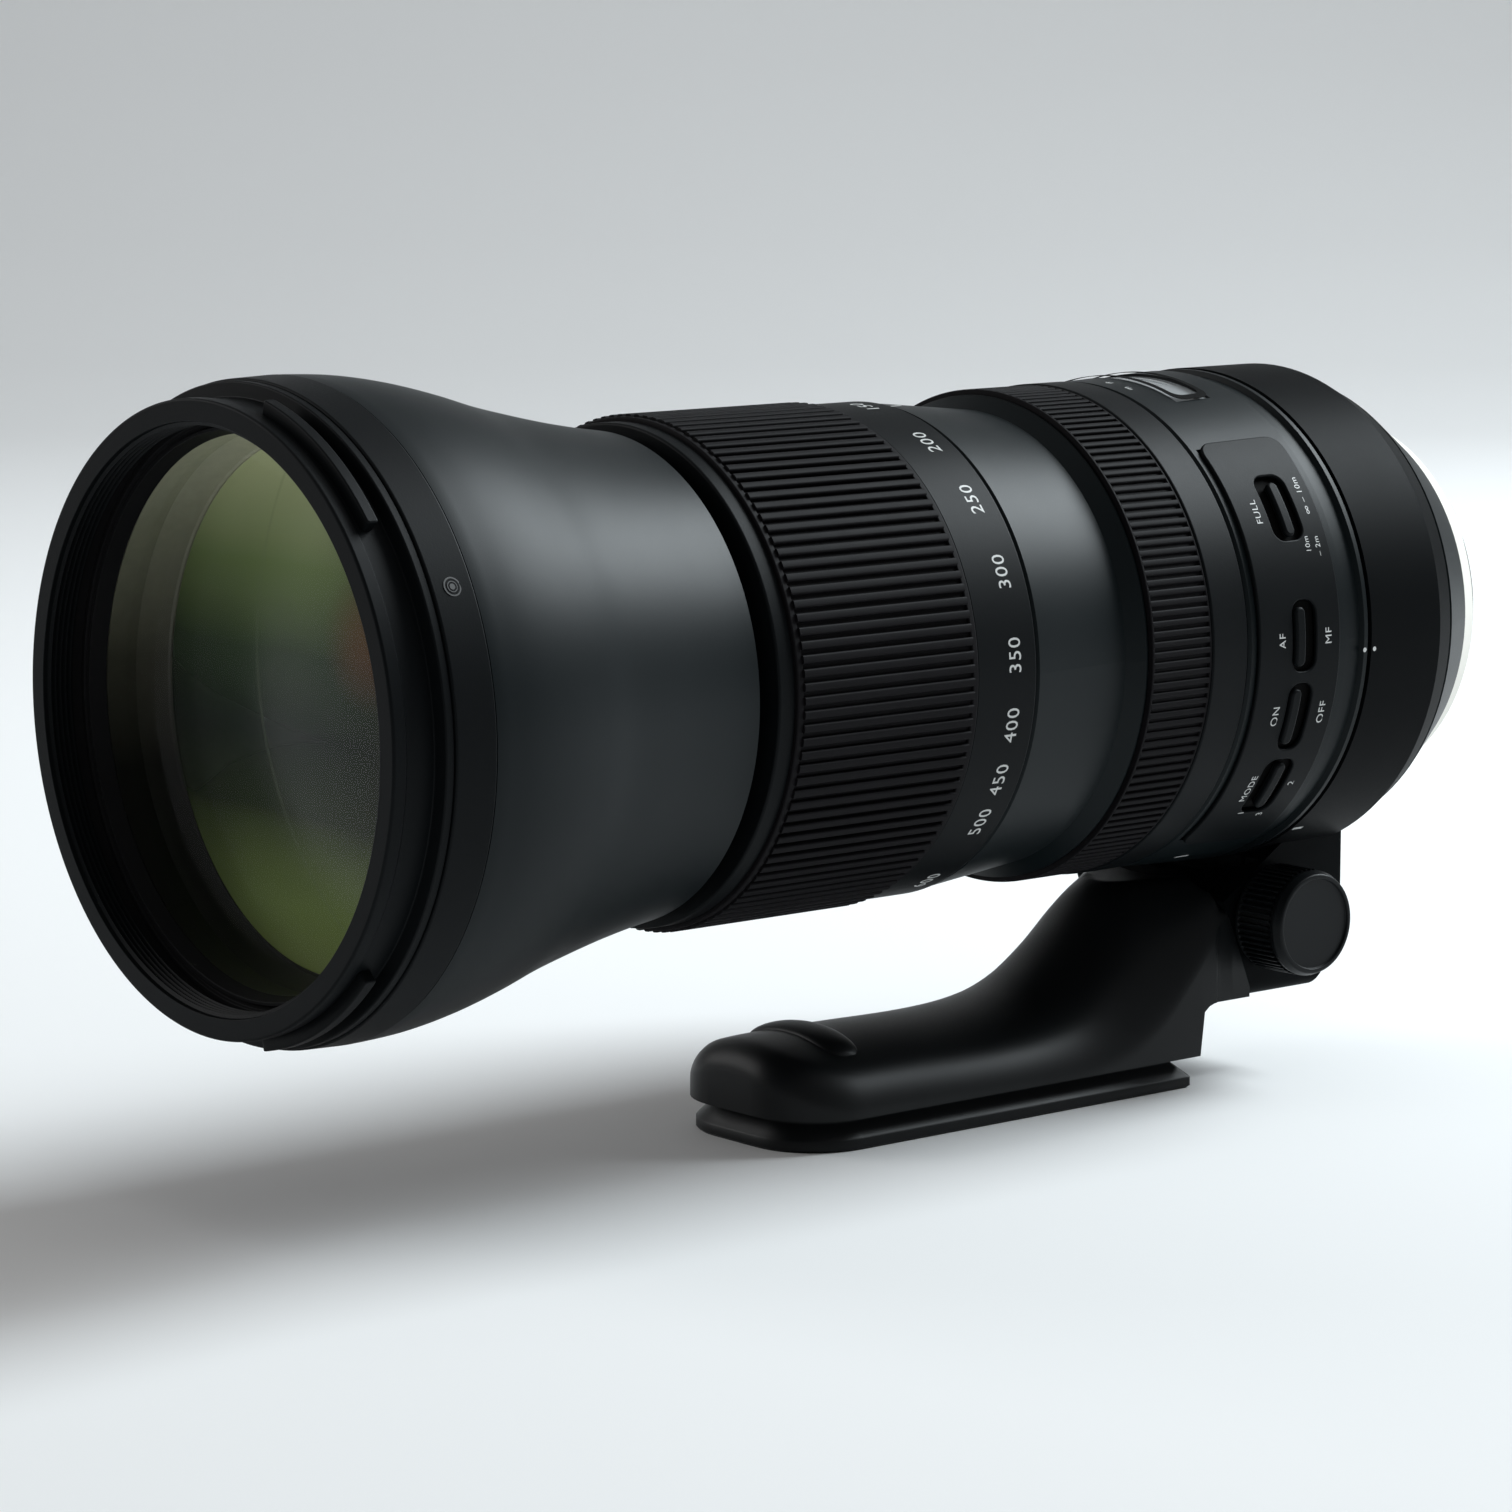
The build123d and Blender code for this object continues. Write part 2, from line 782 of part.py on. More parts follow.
with BuildPart() as guide_barrel:
    turn_box(guide_bore, guide_radius, y_works_front, y_bulkhead)
    turn_box(guide_radius, barrel_bore, y_land, y_land + land_length)
    turn_box(guide_bore, switch_bore, y_bulkhead - bulkhead, y_bulkhead)
    for clock in roller_clocks(front_roller_clock):
        straight_slot(slot_half, guide_bore - overrun, guide_radius + overrun,
                      y_roller - zoom_travel, y_roller, clock)
    for clock in roller_clocks(group_roller_clock):
        straight_slot(slot_half, guide_bore - overrun, guide_radius + overrun,
                      y_roller - group_travel, y_roller, clock)
    for clock in (key_clock, key_clock + 180):
        turn_box(guide_bore - overrun, guide_radius + overrun, y_key - free_gap,
                 y_key + focus_key_length + free_gap,
                 clock - focus_turn - key_half_angle - window_margin,
                 focus_turn + 2 * (key_half_angle + window_margin), Mode.SUBTRACT)
save(guide_barrel, "guide_barrel")

y_waist = y_focus - focus_shoulder_run
y_shoulder = y_focus - focus_shoulder
with BuildPart() as main_barrel:
    with BuildSketch(meridian(90)) as profile:
        with BuildLine():
            Polyline((barrel_bore, y_barrel), (barrel_front_radius - edge_chamfer, y_barrel),
                     (barrel_front_radius, y_barrel + edge_chamfer), (barrel_waist_radius, y_waist),
                     (focus_shoulder_radius, y_shoulder), (focus_shoulder_radius, y_focus),
                     (spigot_radius, y_focus), (spigot_radius, y_switch), (barrel_bore, y_switch),
                     (barrel_bore, y_barrel))
        make_face()
    revolve(profile.sketch, axis=Axis.Y)
    y_lock = y_barrel + lock_inset
    centred_box(lock_floor, barrel_front_radius + overrun, y_lock - lock_pocket_length / 2,
                y_lock + lock_pocket_length / 2, lock_clock, lock_pocket_arc, Mode.SUBTRACT)
save(main_barrel, "main_barrel")

y_lock_front = y_lock - lock_knob_length / 2 - lock_travel / 2
with BuildPart() as zoom_lock_switch:
    lock_top = barrel_front_radius - (barrel_front_radius - barrel_waist_radius) / 2
    centred_box(lock_floor + slider_gap, lock_top, y_lock_front, y_lock_front + lock_knob_length,
                lock_clock, lock_knob_arc)
    bar_front = y_lock_front + lock_knob_length / 2 - lock_bar_length / 2
    centred_box(lock_floor + slider_gap, lock_top + lock_knob_rise, bar_front, bar_front + lock_bar_length,
                lock_clock, lock_knob_arc)
save(zoom_lock_switch, "zoom_lock_switch")

# Focus ring on the spigot of the main barrel, with the motor and the cam that it drives
focus_bore = spigot_radius + running_gap
y_focus_front = y_focus + free_gap
y_focus_band = y_switch - focus_band_length
y_focus_rear = y_switch - seam
focus_seat = focus_rubber_radius - focus_rubber_wall

with BuildPart() as focus_ring:
    turn_outline([
        (focus_bore, y_focus_front),
        (focus_seat, y_focus_front),
        (focus_seat, y_focus_band),
        (focus_band_radius - edge_chamfer, y_focus_band),
        (focus_band_radius, y_focus_band + edge_chamfer),
        (focus_band_radius, y_focus_rear - edge_chamfer),
        (focus_band_radius - edge_chamfer, y_focus_rear),
        (focus_bore + focus_sleeve_wall, y_focus_rear),
        (focus_bore + focus_sleeve_wall, y_switch + focus_sleeve_length),
        (focus_bore, y_switch + focus_sleeve_length),
    ])
save(focus_ring, "focus_ring")

with BuildPart() as focus_rubber:
    ribbed_band(focus_seat, focus_rubber_radius - focus_rib_height, focus_rubber_radius, y_focus_front,
                y_focus_band, focus_rubber_border, focus_rubber_radius - running_gap,
                focus_rib_count, focus_rib_width)
save(focus_rubber, "focus_rubber")

y_stator = y_switch + motor_front
y_stator_rear = y_stator + stator_length
with BuildPart() as motor_stator:
    turn_box(guide_radius, motor_radius, y_stator, y_stator_rear)
    with BuildSketch(cross_plane(y_stator_rear)) as teeth:
        with PolarLocations((guide_radius + motor_radius) / 2, stator_tooth_count):
            Rectangle(motor_radius - guide_radius + overrun, stator_tooth_gap)
    extrude(teeth.sketch, amount=stator_tooth_depth, mode=Mode.SUBTRACT)
save(motor_stator, "motor_stator")

with BuildPart() as motor_rotor:
    turn_box(sleeve_bore, motor_radius, y_stator_rear + running_gap, y_drive)
save(motor_rotor, "motor_rotor")

y_drive_rear = y_drive + drive_ring_length
drum_bore = drum_radius - drum_wall
with BuildPart() as focus_drive_ring:
    turn_box(sleeve_bore, sleeve_bore + drive_hub_wall, y_drive, y_drive_rear)
    turn_box(sleeve_bore, drum_bore, y_drive_rear - drive_disc, y_drive_rear)
save(focus_drive_ring, "focus_drive_ring")

with BuildPart() as distance_scale:
    turn_box(drum_bore, drum_radius, y_drive_rear - drum_length, y_drive_rear)
save(distance_scale, "distance_scale")

# The cam tube turns with the drive ring through two keys, round the fixed focus guide tube
focus_cam_bore = focus_tube_radius + running_gap
focus_cam_radius = focus_cam_bore + cam_wall
y_focus_roller = y_drive - focus_travel - focus_roller_rest
y_cam_front = y_focus_roller - focus_cam_front + focus_roller_rest
with BuildPart() as focus_cam_tube:
    turn_box(focus_cam_bore, focus_cam_radius, y_cam_front, y_key + focus_key_length)
    for clock in roller_clocks(focus_roller_clock):
        helical_slot(slot_half, focus_cam_bore - overrun, focus_cam_radius + overrun,
                     y_focus_roller, clock, focus_turn, focus_travel)
    for clock in (key_clock, key_clock + 180):
        with BuildSketch(radial_plane(focus_cam_radius - cam_wall / 2, y_key + focus_key_length / 2, clock)) as key:
            Rectangle(focus_key_length, focus_key_width)
        extrude(key.sketch, amount=sleeve_bore - running_gap - focus_cam_radius + cam_wall / 2)
save(focus_cam_tube, "focus_cam_tube")

y_focus_tube_front = y_focus_roller - focus_tube_front + focus_roller_rest
focus_tube_bore = focus_tube_radius - focus_tube_wall
with BuildPart() as focus_guide_tube:
    turn_box(focus_tube_bore, focus_tube_radius, y_focus_tube_front, y_bulkhead)
    turn_box(focus_tube_radius, guide_bore, y_bulkhead - bulkhead, y_bulkhead)
    for clock in roller_clocks(focus_roller_clock):
        straight_slot(slot_half, focus_tube_bore - overrun, focus_tube_radius + overrun,
                      y_focus_roller, y_focus_roller + focus_travel, clock)
save(focus_guide_tube, "focus_guide_tube")

y_focus_cell = y_focus_roller - focus_cell_length / 2
focus_cell_radius = focus_tube_bore - running_gap
y_focus_cell_rear = y_focus_cell + focus_cell_length
with BuildPart() as focus_cell:
    turn_outline([
        (focus_lens_radius, y_focus_cell),
        (focus_cell_radius, y_focus_cell),
        (focus_cell_radius, y_focus_cell_rear),
        (focus_ledge, y_focus_cell_rear),
        (focus_ledge, y_focus_cell_rear - group_ledge_length),
        (focus_lens_radius, y_focus_cell_rear - group_ledge_length),
    ])
    for clock in roller_clocks(focus_roller_clock):
        radial_pin(roller_radius, focus_cell_radius - slot_half, focus_cam_radius - slot_gap,
                   y_focus_roller, clock)
save(focus_cell, "focus_cell")

focus_lens_sag = (focus_cell_length - group_ledge_length - focus_lens_middle) / 2
with BuildPart() as focus_lens:
    y_lens_seat = y_focus_cell_rear - group_ledge_length
    lens_solid(focus_lens_radius, y_lens_seat - focus_lens_sag - focus_lens_middle, -focus_lens_sag,
               y_lens_seat - focus_lens_sag, focus_lens_sag)
save(focus_lens, "focus_lens")

# Switch section: barrel, raised panel, four switches and the window over the distance scale
panel_start = y_switch + panel_front
panel_end = y_collar - panel_rear
switch_slope = (switch_rear_radius - switch_front_radius) / (y_collar - groove_front - y_switch)
panel_arc = panel_bottom_clock - panel_top_clock
y_switches = panel_start + switch_inset - panel_front
panel_outer_front = switch_front_radius + panel_rise + switch_slope * panel_front
panel_outer_rear = panel_outer_front + switch_slope * (panel_end - panel_start)
switch_kinds = [
    ("limiter_switch", limiter_clock, 2 * switch_three_travel, switch_three_travel),
    ("focus_mode_switch", focus_mode_clock, switch_two_travel, 0),
    ("stabiliser_switch", stabiliser_clock, switch_two_travel, 0),
    ("stabiliser_mode_switch", stabiliser_mode_clock, 2 * switch_three_travel, switch_three_travel),
]
y_window = y_switch + window_front

with BuildPart() as switch_barrel:
    turn_outline([
        (switch_bore, y_switch),
        (switch_front_radius - edge_chamfer, y_switch),
        (switch_front_radius, y_switch + edge_chamfer),
        (switch_rear_radius, y_collar - groove_front),
        (switch_rear_radius - groove_depth, y_collar - groove_front + edge_chamfer),
        (switch_rear_radius - groove_depth, y_collar - groove_rear - edge_chamfer),
        (switch_rear_radius, y_collar - groove_rear),
        (switch_rear_radius, y_collar - edge_chamfer),
        (switch_rear_radius - edge_chamfer, y_collar),
        (switch_bore, y_collar),
    ])
    turn_box(panel_floor, switch_rear_radius + overrun, panel_start, panel_end, panel_top_clock, panel_arc,
             Mode.SUBTRACT)
    for name, clock, travel, rest in switch_kinds:
        reach = slider_length / 2 + travel / 2 + slot_gap
        centred_box(switch_floor, panel_floor + overrun, y_switches - reach, y_switches + reach,
                    clock, slider_arc + 2 * slot_gap, Mode.SUBTRACT)
    centred_box(switch_bore - overrun, switch_rear_radius + overrun, y_window + window_ledge,
                y_window + window_length - window_ledge, 0, window_arc - 2 * window_ledge_arc, Mode.SUBTRACT)
    window_radius = switch_front_radius + switch_slope * window_front - window_recess
    centred_box(window_radius - window_glass, switch_rear_radius + overrun, y_window,
                y_window + window_length, 0, window_arc, Mode.SUBTRACT)
save(switch_barrel, "switch_barrel")

with BuildPart() as distance_window:
    centred_box(window_radius - window_glass, window_radius, y_window, y_window + window_length, 0, window_arc)
save(distance_window, "distance_window")

with BuildPart() as switch_panel:
    turn_outline([(panel_floor, panel_start), (panel_outer_front, panel_start), (panel_outer_rear, panel_end),
                  (panel_floor, panel_end)], panel_top_clock, panel_arc)
    corners = [edge for edge in switch_panel.edges().filter_by(GeomType.LINE) if edge.length < 2 * panel_corner]
    fillet(corners, radius=panel_corner)
    for name, clock, travel, rest in switch_kinds:
        reach = (switch_knob_length + travel) / 2 + switch_slot_extra
        centred_box(panel_floor - overrun, panel_outer_rear + overrun, y_switches - reach, y_switches + reach,
                    clock, switch_slot_arc, Mode.SUBTRACT)
save(switch_panel, "switch_panel")

# Each switch rests at the front end of its travel, or in the middle if it has three places
for name, clock, travel, rest in switch_kinds:
    y_centre = y_switches - travel / 2 + rest
    with BuildPart() as switch:
        slider_top = switch_floor + slider_gap + slider_thickness
        centred_box(switch_floor + slider_gap, slider_top, y_centre - slider_length / 2,
                    y_centre + slider_length / 2, clock, slider_arc)
        centred_box(slider_top - slider_thickness / 2, panel_outer_rear + switch_knob_rise,
                    y_centre - switch_knob_length / 2, y_centre + switch_knob_length / 2,
                    clock, switch_knob_arc)
    save(switch, name)

# Stabiliser: a lens cell that slides up and down on a guide plate that slides sideways
y_housing_rear = -housing_rear_station
with BuildPart() as stabiliser_housing:
    turn_box(housing_bore, housing_radius, y_bulkhead, y_housing_rear)
    turn_box(housing_window, housing_bore, y_bulkhead, y_bulkhead + housing_front)
save(stabiliser_housing, "stabiliser_housing")

y_guide_plate = y_bulkhead + housing_front + plate_gap
with BuildPart() as stabiliser_guide:
    turn_box(guide_plate_bore, guide_plate_radius, y_guide_plate, y_guide_plate + guide_plate_thickness)
save(stabiliser_guide, "stabiliser_guide")

y_stabiliser_cell = y_guide_plate + guide_plate_thickness + plate_gap
with BuildPart() as stabiliser_cell:
    turn_box(stabiliser_lens_radius, stabiliser_cell_radius, y_stabiliser_cell,
             y_stabiliser_cell + stabiliser_cell_length)
    with BuildSketch(cross_plane(y_stabiliser_cell + stabiliser_cell_length)) as pockets:
        with PolarLocations(stabiliser_pad_ring, roller_count):
            Circle(stabiliser_pad_radius)
    extrude(pockets.sketch, amount=stabiliser_pad_height, mode=Mode.SUBTRACT)
save(stabiliser_cell, "stabiliser_cell")

with BuildPart() as stabiliser_lens:
    y_mid = y_stabiliser_cell + stabiliser_cell_length / 2
    stabiliser_sag = sag(stabiliser_lens_curve, stabiliser_lens_radius)
    lens_solid(stabiliser_lens_radius, y_mid - stabiliser_lens_middle / 2, stabiliser_sag,
               y_mid + stabiliser_lens_middle / 2, -stabiliser_sag)
save(stabiliser_lens, "stabiliser_lens")

# Diaphragm: blades at stepped depths swing inwards as the drive ring pushes their rear pins
y_iris = -iris_plate_station
y_blades = y_iris + iris_plate + blade_pitch / 2
y_iris_ring = y_blades + blade_count * blade_pitch
blade_step = 360 / blade_count


def spot_on_ring(radius, angle):
    """A sketch point at a radius and an angle."""
    return radius * math.cos(math.radians(angle)), radius * math.sin(math.radians(angle))


def drive_pin_spot(share):
    """Where the first blade's drive pin lies when it has made a share of its swing."""
    swing = math.radians(blade_turn * share)
    across = drive_pin_out * math.cos(swing) + drive_pin_back * math.sin(swing)
    along = drive_pin_out * math.sin(swing) - drive_pin_back * math.cos(swing)
    return blade_pivot_ring + across, along


def drive_slot_spot(share, turned):
    """The same spot as the drive ring sees it, which turns the other way, for a later blade."""
    x, z = drive_pin_spot(share)
    angle = math.degrees(math.atan2(z, x)) + iris_turn * share + turned
    return spot_on_ring(math.hypot(x, z), angle)


with BuildPart() as diaphragm_plate:
    turn_box(iris_bore, housing_bore, y_iris, y_iris + iris_plate)
    with BuildSketch(cross_plane(y_iris + iris_plate, 90)) as pivots:
        with PolarLocations(blade_pivot_ring, blade_count):
            Circle(blade_pin_radius + slider_gap)
    extrude(pivots.sketch, amount=iris_plate, mode=Mode.SUBTRACT)
save(diaphragm_plate, "diaphragm_plate")

for number in range(blade_count):
    turned = blade_step * number
    y_blade = y_blades + blade_pitch * number
    pivot = spot_on_ring(blade_pivot_ring, turned)
    with BuildPart() as blade:
        middle = (blade_inner + blade_outer) / 2
        root = spot_on_ring(middle, turned + blade_start)
        pin_x, pin_z = drive_pin_spot(0)
        tail = spot_on_ring(math.hypot(pin_x, pin_z), math.degrees(math.atan2(pin_z, pin_x)) + turned)
        with BuildSketch(cross_plane(y_blade + blade_thickness, 90)) as shape:
            with BuildLine() as crescent:
                CenterArc((0, 0), middle, turned + blade_start, blade_arc)
            trace(crescent.line, line_width=blade_outer - blade_inner)
            with BuildLine() as arm:
                Polyline(root, pivot, tail)
            trace(arm.line, line_width=blade_arm_width)
            with Locations(root):
                Circle((blade_outer - blade_inner) / 2)
            with Locations(pivot, tail):
                Circle(blade_boss_radius)
        extrude(shape.sketch, amount=blade_thickness)
        with BuildSketch(cross_plane(y_blade + blade_thickness / 2, 90)) as pivot_pin:
            with Locations(pivot):
                Circle(blade_pin_radius)
        extrude(pivot_pin.sketch, amount=y_blade + blade_thickness / 2 - y_iris - slider_gap)
        with BuildSketch(cross_plane(y_iris_ring + iris_ring_thickness - slider_gap, 90)) as drive_pin:
            with Locations(tail):
                Circle(blade_pin_radius)
        extrude(drive_pin.sketch, amount=y_iris_ring + iris_ring_thickness - slider_gap - y_blade)
    save(blade, f"diaphragm_blade_{number + 1}")

with BuildPart() as diaphragm_drive_ring:
    turn_box(iris_ring_bore, iris_ring_radius, y_iris_ring, y_iris_ring + iris_ring_thickness)
    with BuildSketch(cross_plane(y_iris_ring + iris_ring_thickness, 90)) as slots:
        for number in range(blade_count):
            places = [drive_slot_spot(share, blade_step * number) for share in (0, 0.5, 1)]
            with BuildLine(mode=Mode.PRIVATE) as path:
                ThreePointArc(*places)
            trace(path.line, line_width=2 * (blade_pin_radius + slot_gap))
            with Locations(places[0], places[-1]):
                Circle(blade_pin_radius + slot_gap)
    extrude(slots.sketch, amount=iris_ring_thickness, mode=Mode.SUBTRACT)
save(diaphragm_drive_ring, "diaphragm_drive_ring")

# Rear end: lens cell, barrel, circuit board, pale skirt and bayonet
y_rear_cell = y_housing_rear - rear_flange
y_rear_cell_end = -rear_cell_tail
with BuildPart() as rear_cell:
    turn_box(rear_cell_radius, housing_bore, y_rear_cell, y_housing_rear)
    turn_box(rear_lens_radius, rear_cell_radius, y_rear_cell, y_rear_cell_end)
    rear_pitch = (y_rear_cell_end - y_rear_cell) / rear_lens_count
    for place in range(rear_lens_count - 1):
        y_ring = y_rear_cell + rear_pitch * (place + 1) - group_ledge_length / 2
        turn_box(rear_lens_radius - rear_cell_wall / 2, rear_lens_radius, y_ring, y_ring + group_ledge_length)
save(rear_cell, "rear_cell")

rear_solids = []
for place in range(rear_lens_count):
    with BuildPart() as rear_lens:
        y_mid = y_rear_cell + rear_pitch * (place + 1 / 2)
        bulge = sag(rear_lens_curve, rear_lens_radius)
        bend = 1 if place != 1 else -1
        middle = rear_lens_edge / 2 if bend < 0 else rear_lens_edge + 2 * bulge
        lens_solid(rear_lens_radius, y_mid - middle / 2, bulge * bend, y_mid + middle / 2, -bulge * bend)
    rear_solids.append(rear_lens.part.solid())
rear_lenses = Compound(children=rear_solids)
rear_lenses.label = "rear_lenses"
export_step(rear_lenses, "parts/rear_lenses.step")

y_spigot = y_collar - rear_spigot_length
rear_bore = bearing_radius - rear_wall
with BuildPart() as rear_barrel:
    turn_outline([
        (rear_bore, y_spigot),
        (switch_bore, y_spigot),
        (switch_bore, y_collar - rim_gap),
        (bearing_radius, y_collar - rim_gap),
        (bearing_radius, y_taper),
        (taper_start_radius - edge_chamfer, y_taper),
        (taper_start_radius, y_taper + edge_chamfer),
        (taper_radius, y_skirt),
        (rear_plate_bore, y_skirt),
        (rear_plate_bore, y_skirt - rear_plate),
        (taper_radius - rear_wall, y_skirt - rear_plate),
        (rear_bore, y_taper - rear_wall),
    ])
    with BuildSketch(cross_plane(y_skirt)) as screw_holes:
        with PolarLocations(screw_ring, screw_count, start_angle=screw_clock):
            Circle(screw_radius)
    extrude(screw_holes.sketch, amount=screw_length - skirt_length, mode=Mode.SUBTRACT)
save(rear_barrel, "rear_barrel")

y_board = -board_station
with BuildPart() as circuit_board:
    turn_box(board_inner, rear_bore, y_board, y_board + board_thickness, board_clock, board_arc)
    with BuildSketch(cross_plane(y_board, board_clock)) as chips:
        with PolarLocations((board_inner + rear_bore) / 2, roller_count, start_angle=-board_arc * 3 / 4,
                            angular_range=board_arc / 2, endpoint=True):
            Rectangle(chip_size, chip_size)
    extrude(chips.sketch, amount=chip_height)
save(circuit_board, "circuit_board")

y_mount = -mount_plate
with BuildPart() as skirt_ring:
    turn_outline([
        (skirt_bore, y_skirt),
        (taper_radius - edge_chamfer, y_skirt),
        (taper_radius - edge_chamfer, y_skirt + edge_chamfer),
        (skirt_radius, y_mount - edge_chamfer),
        (skirt_radius - edge_chamfer, y_mount),
        (skirt_bore, y_mount),
    ])
    with BuildSketch(cross_plane(y_mount)) as screw_holes:
        with PolarLocations(screw_ring, screw_count, start_angle=screw_clock):
            Circle(screw_hole_radius)
    extrude(screw_holes.sketch, amount=y_mount - y_skirt, mode=Mode.SUBTRACT)
save(skirt_ring, "skirt_ring")

with BuildPart() as bayonet_mount:
    turn_outline([
        (mount_bore, y_mount),
        (mount_radius, y_mount),
        (mount_radius, -edge_chamfer),
        (mount_radius - edge_chamfer, 0),
        (register_radius, 0),
        (register_radius, register_length),
        (tab_inner_radius, register_length),
        (tab_inner_radius, mount_depth),
        (mount_bore, mount_depth),
    ])
    for turn in range(tab_count):
        centred_box(tab_inner_radius - edge_chamfer, tab_radius, mount_depth - tab_length, mount_depth,
                    tab_clock + 360 * turn / tab_count, tab_arc)
    with BuildSketch(cross_plane(0)) as screw_holes:
        with PolarLocations(screw_ring, screw_count, start_angle=screw_clock):
            Circle(screw_hole_radius)
        with Locations(spot_on_ring(screw_ring, lock_hole_clock)):
            Circle(lock_hole_radius)
    extrude(screw_holes.sketch, amount=mount_plate, mode=Mode.SUBTRACT)
    for turn in range(screw_count):
        spot = spot_on_ring(screw_ring, screw_clock + 360 * turn / screw_count)
        with BuildSketch(cross_plane(0)) as sink:
            with Locations(spot):
                Circle(screw_head_radius)
        extrude(sink.sketch, amount=screw_head_height, mode=Mode.SUBTRACT)
save(bayonet_mount, "bayonet_mount")

with BuildPart() as mount_screws:
    with BuildSketch(cross_plane(0)) as heads:
        with PolarLocations(screw_ring, screw_count, start_angle=screw_clock):
            Circle(screw_head_radius)
    extrude(heads.sketch, amount=screw_head_height)
    with BuildSketch(cross_plane(0)) as shanks:
        with PolarLocations(screw_ring, screw_count, start_angle=screw_clock):
            Circle(screw_radius)
    extrude(shanks.sketch, amount=screw_length)
save(mount_screws, "mount_screws")

contact_end = contact_front + contact_length
with BuildPart() as contact_block:
    centred_box(mount_bore - contact_wall, mount_bore, contact_front, contact_end, contact_clock, contact_arc)
save(contact_block, "contact_block")

with BuildPart() as contact_pads:
    first_clock = contact_clock - pad_pitch * (pad_count - 1) / 2
    with BuildSketch(cross_plane(contact_end + pad_height)) as pads:
        for place in range(pad_count):
            x, z = clock_point(mount_bore - contact_wall / 2, first_clock + pad_pitch * place)
            flat = cross_plane(0).to_local_coords(Vector(x, 0, z))
            with Locations((flat.X, flat.Y)):
                Circle(pad_radius)
    extrude(pads.sketch, amount=pad_height)
save(contact_pads, "contact_pads")

# Tripod collar: a ring split by a slit in its boss, which the lock knob's screw pulls together
collar_bore = bearing_radius + collar_bore_gap
y_collar_front = y_collar + rim_gap
y_collar_rear = y_taper - rim_gap
y_boss_rear = y_collar_rear - boss_rear_inset
knob_top = panel_outer_rear + switch_knob_rise
relief_radius = knob_top + relief_gap
boss_top = collar_bore / 2

with BuildPart() as collar_ring:
    with BuildSketch(Plane.YZ) as side:
        with BuildLine():
            Polyline((y_boss_rear, -boss_top), (y_boss_rear, -boss_bottom + boss_rear_height),
                     (y_boss_rear - boss_rear_run, -boss_bottom), (-seam_bottom_station, -boss_bottom),
                     (-seam_top_station, -seam_top_height), (-seam_top_station, -boss_top), close=True)
        make_face()
    extrude(side.sketch, amount=boss_half_width, both=True)
    low = [edge for edge in collar_ring.edges().filter_by(Axis.Y) if edge.center().Z < -boss_bottom + seam]
    fillet(low, radius=boss_edge)
    with BuildSketch(Plane.YZ) as slope:
        with BuildLine():
            Polyline((-slope_top_station, -slope_top_height), (-seam_top_station, -slope_bottom_height),
                     (-seam_top_station - overrun, -slope_bottom_height), (-seam_top_station - overrun, -boss_top),
                     (-slope_top_station, -boss_top), close=True)
        make_face()
    extrude(slope.sketch, amount=boss_half_width + overrun, both=True, mode=Mode.SUBTRACT)
    turn_box(boss_top / 2, relief_radius, y_switch, y_collar_front, mode=Mode.SUBTRACT)
    for place in foot_screw_places:
        with BuildSketch(Plane.XZ.offset(foot_screw_station)) as shank_hole:
            with Locations((place, -foot_screw_height)):
                Circle(foot_screw_radius + running_gap)
        extrude(shank_hole.sketch, amount=foot_screw_length, mode=Mode.SUBTRACT)
        with BuildSketch(Plane.XZ.offset(foot_screw_station)) as head_hole:
            with Locations((place, -foot_screw_height)):
                Circle(foot_screw_head_radius + free_gap)
        extrude(head_hole.sketch, amount=-foot_screw_station, mode=Mode.SUBTRACT)
    turn_outline([
        (collar_bore, y_collar_front),
        (collar_radius, y_collar_front),
        (collar_radius, y_collar_rear - collar_taper),
        (collar_end_radius, y_collar_rear),
        (collar_bore, y_collar_rear),
    ])
    turn_box(overrun, collar_bore, y_collar_front - overrun, y_collar_rear + overrun, mode=Mode.SUBTRACT)
    with BuildSketch(Plane.XY.offset(-boss_top)) as slit:
        with Locations((slit_place, (y_collar_rear - seam_top_station) / 2)):
            Rectangle(slit_width, 2 * collar_length + seam_top_station)
    extrude(slit.sketch, amount=-boss_bottom, mode=Mode.SUBTRACT)
    knob_centre = (-knob_station, -knob_height)
    with BuildSketch(Plane.YZ.offset(knob_screw_reach - free_gap)) as screw_bore:
        with Locations(knob_centre):
            Circle(knob_screw_radius + running_gap)
    extrude(screw_bore.sketch, amount=boss_half_width, mode=Mode.SUBTRACT)
save(collar_ring, "collar_ring")

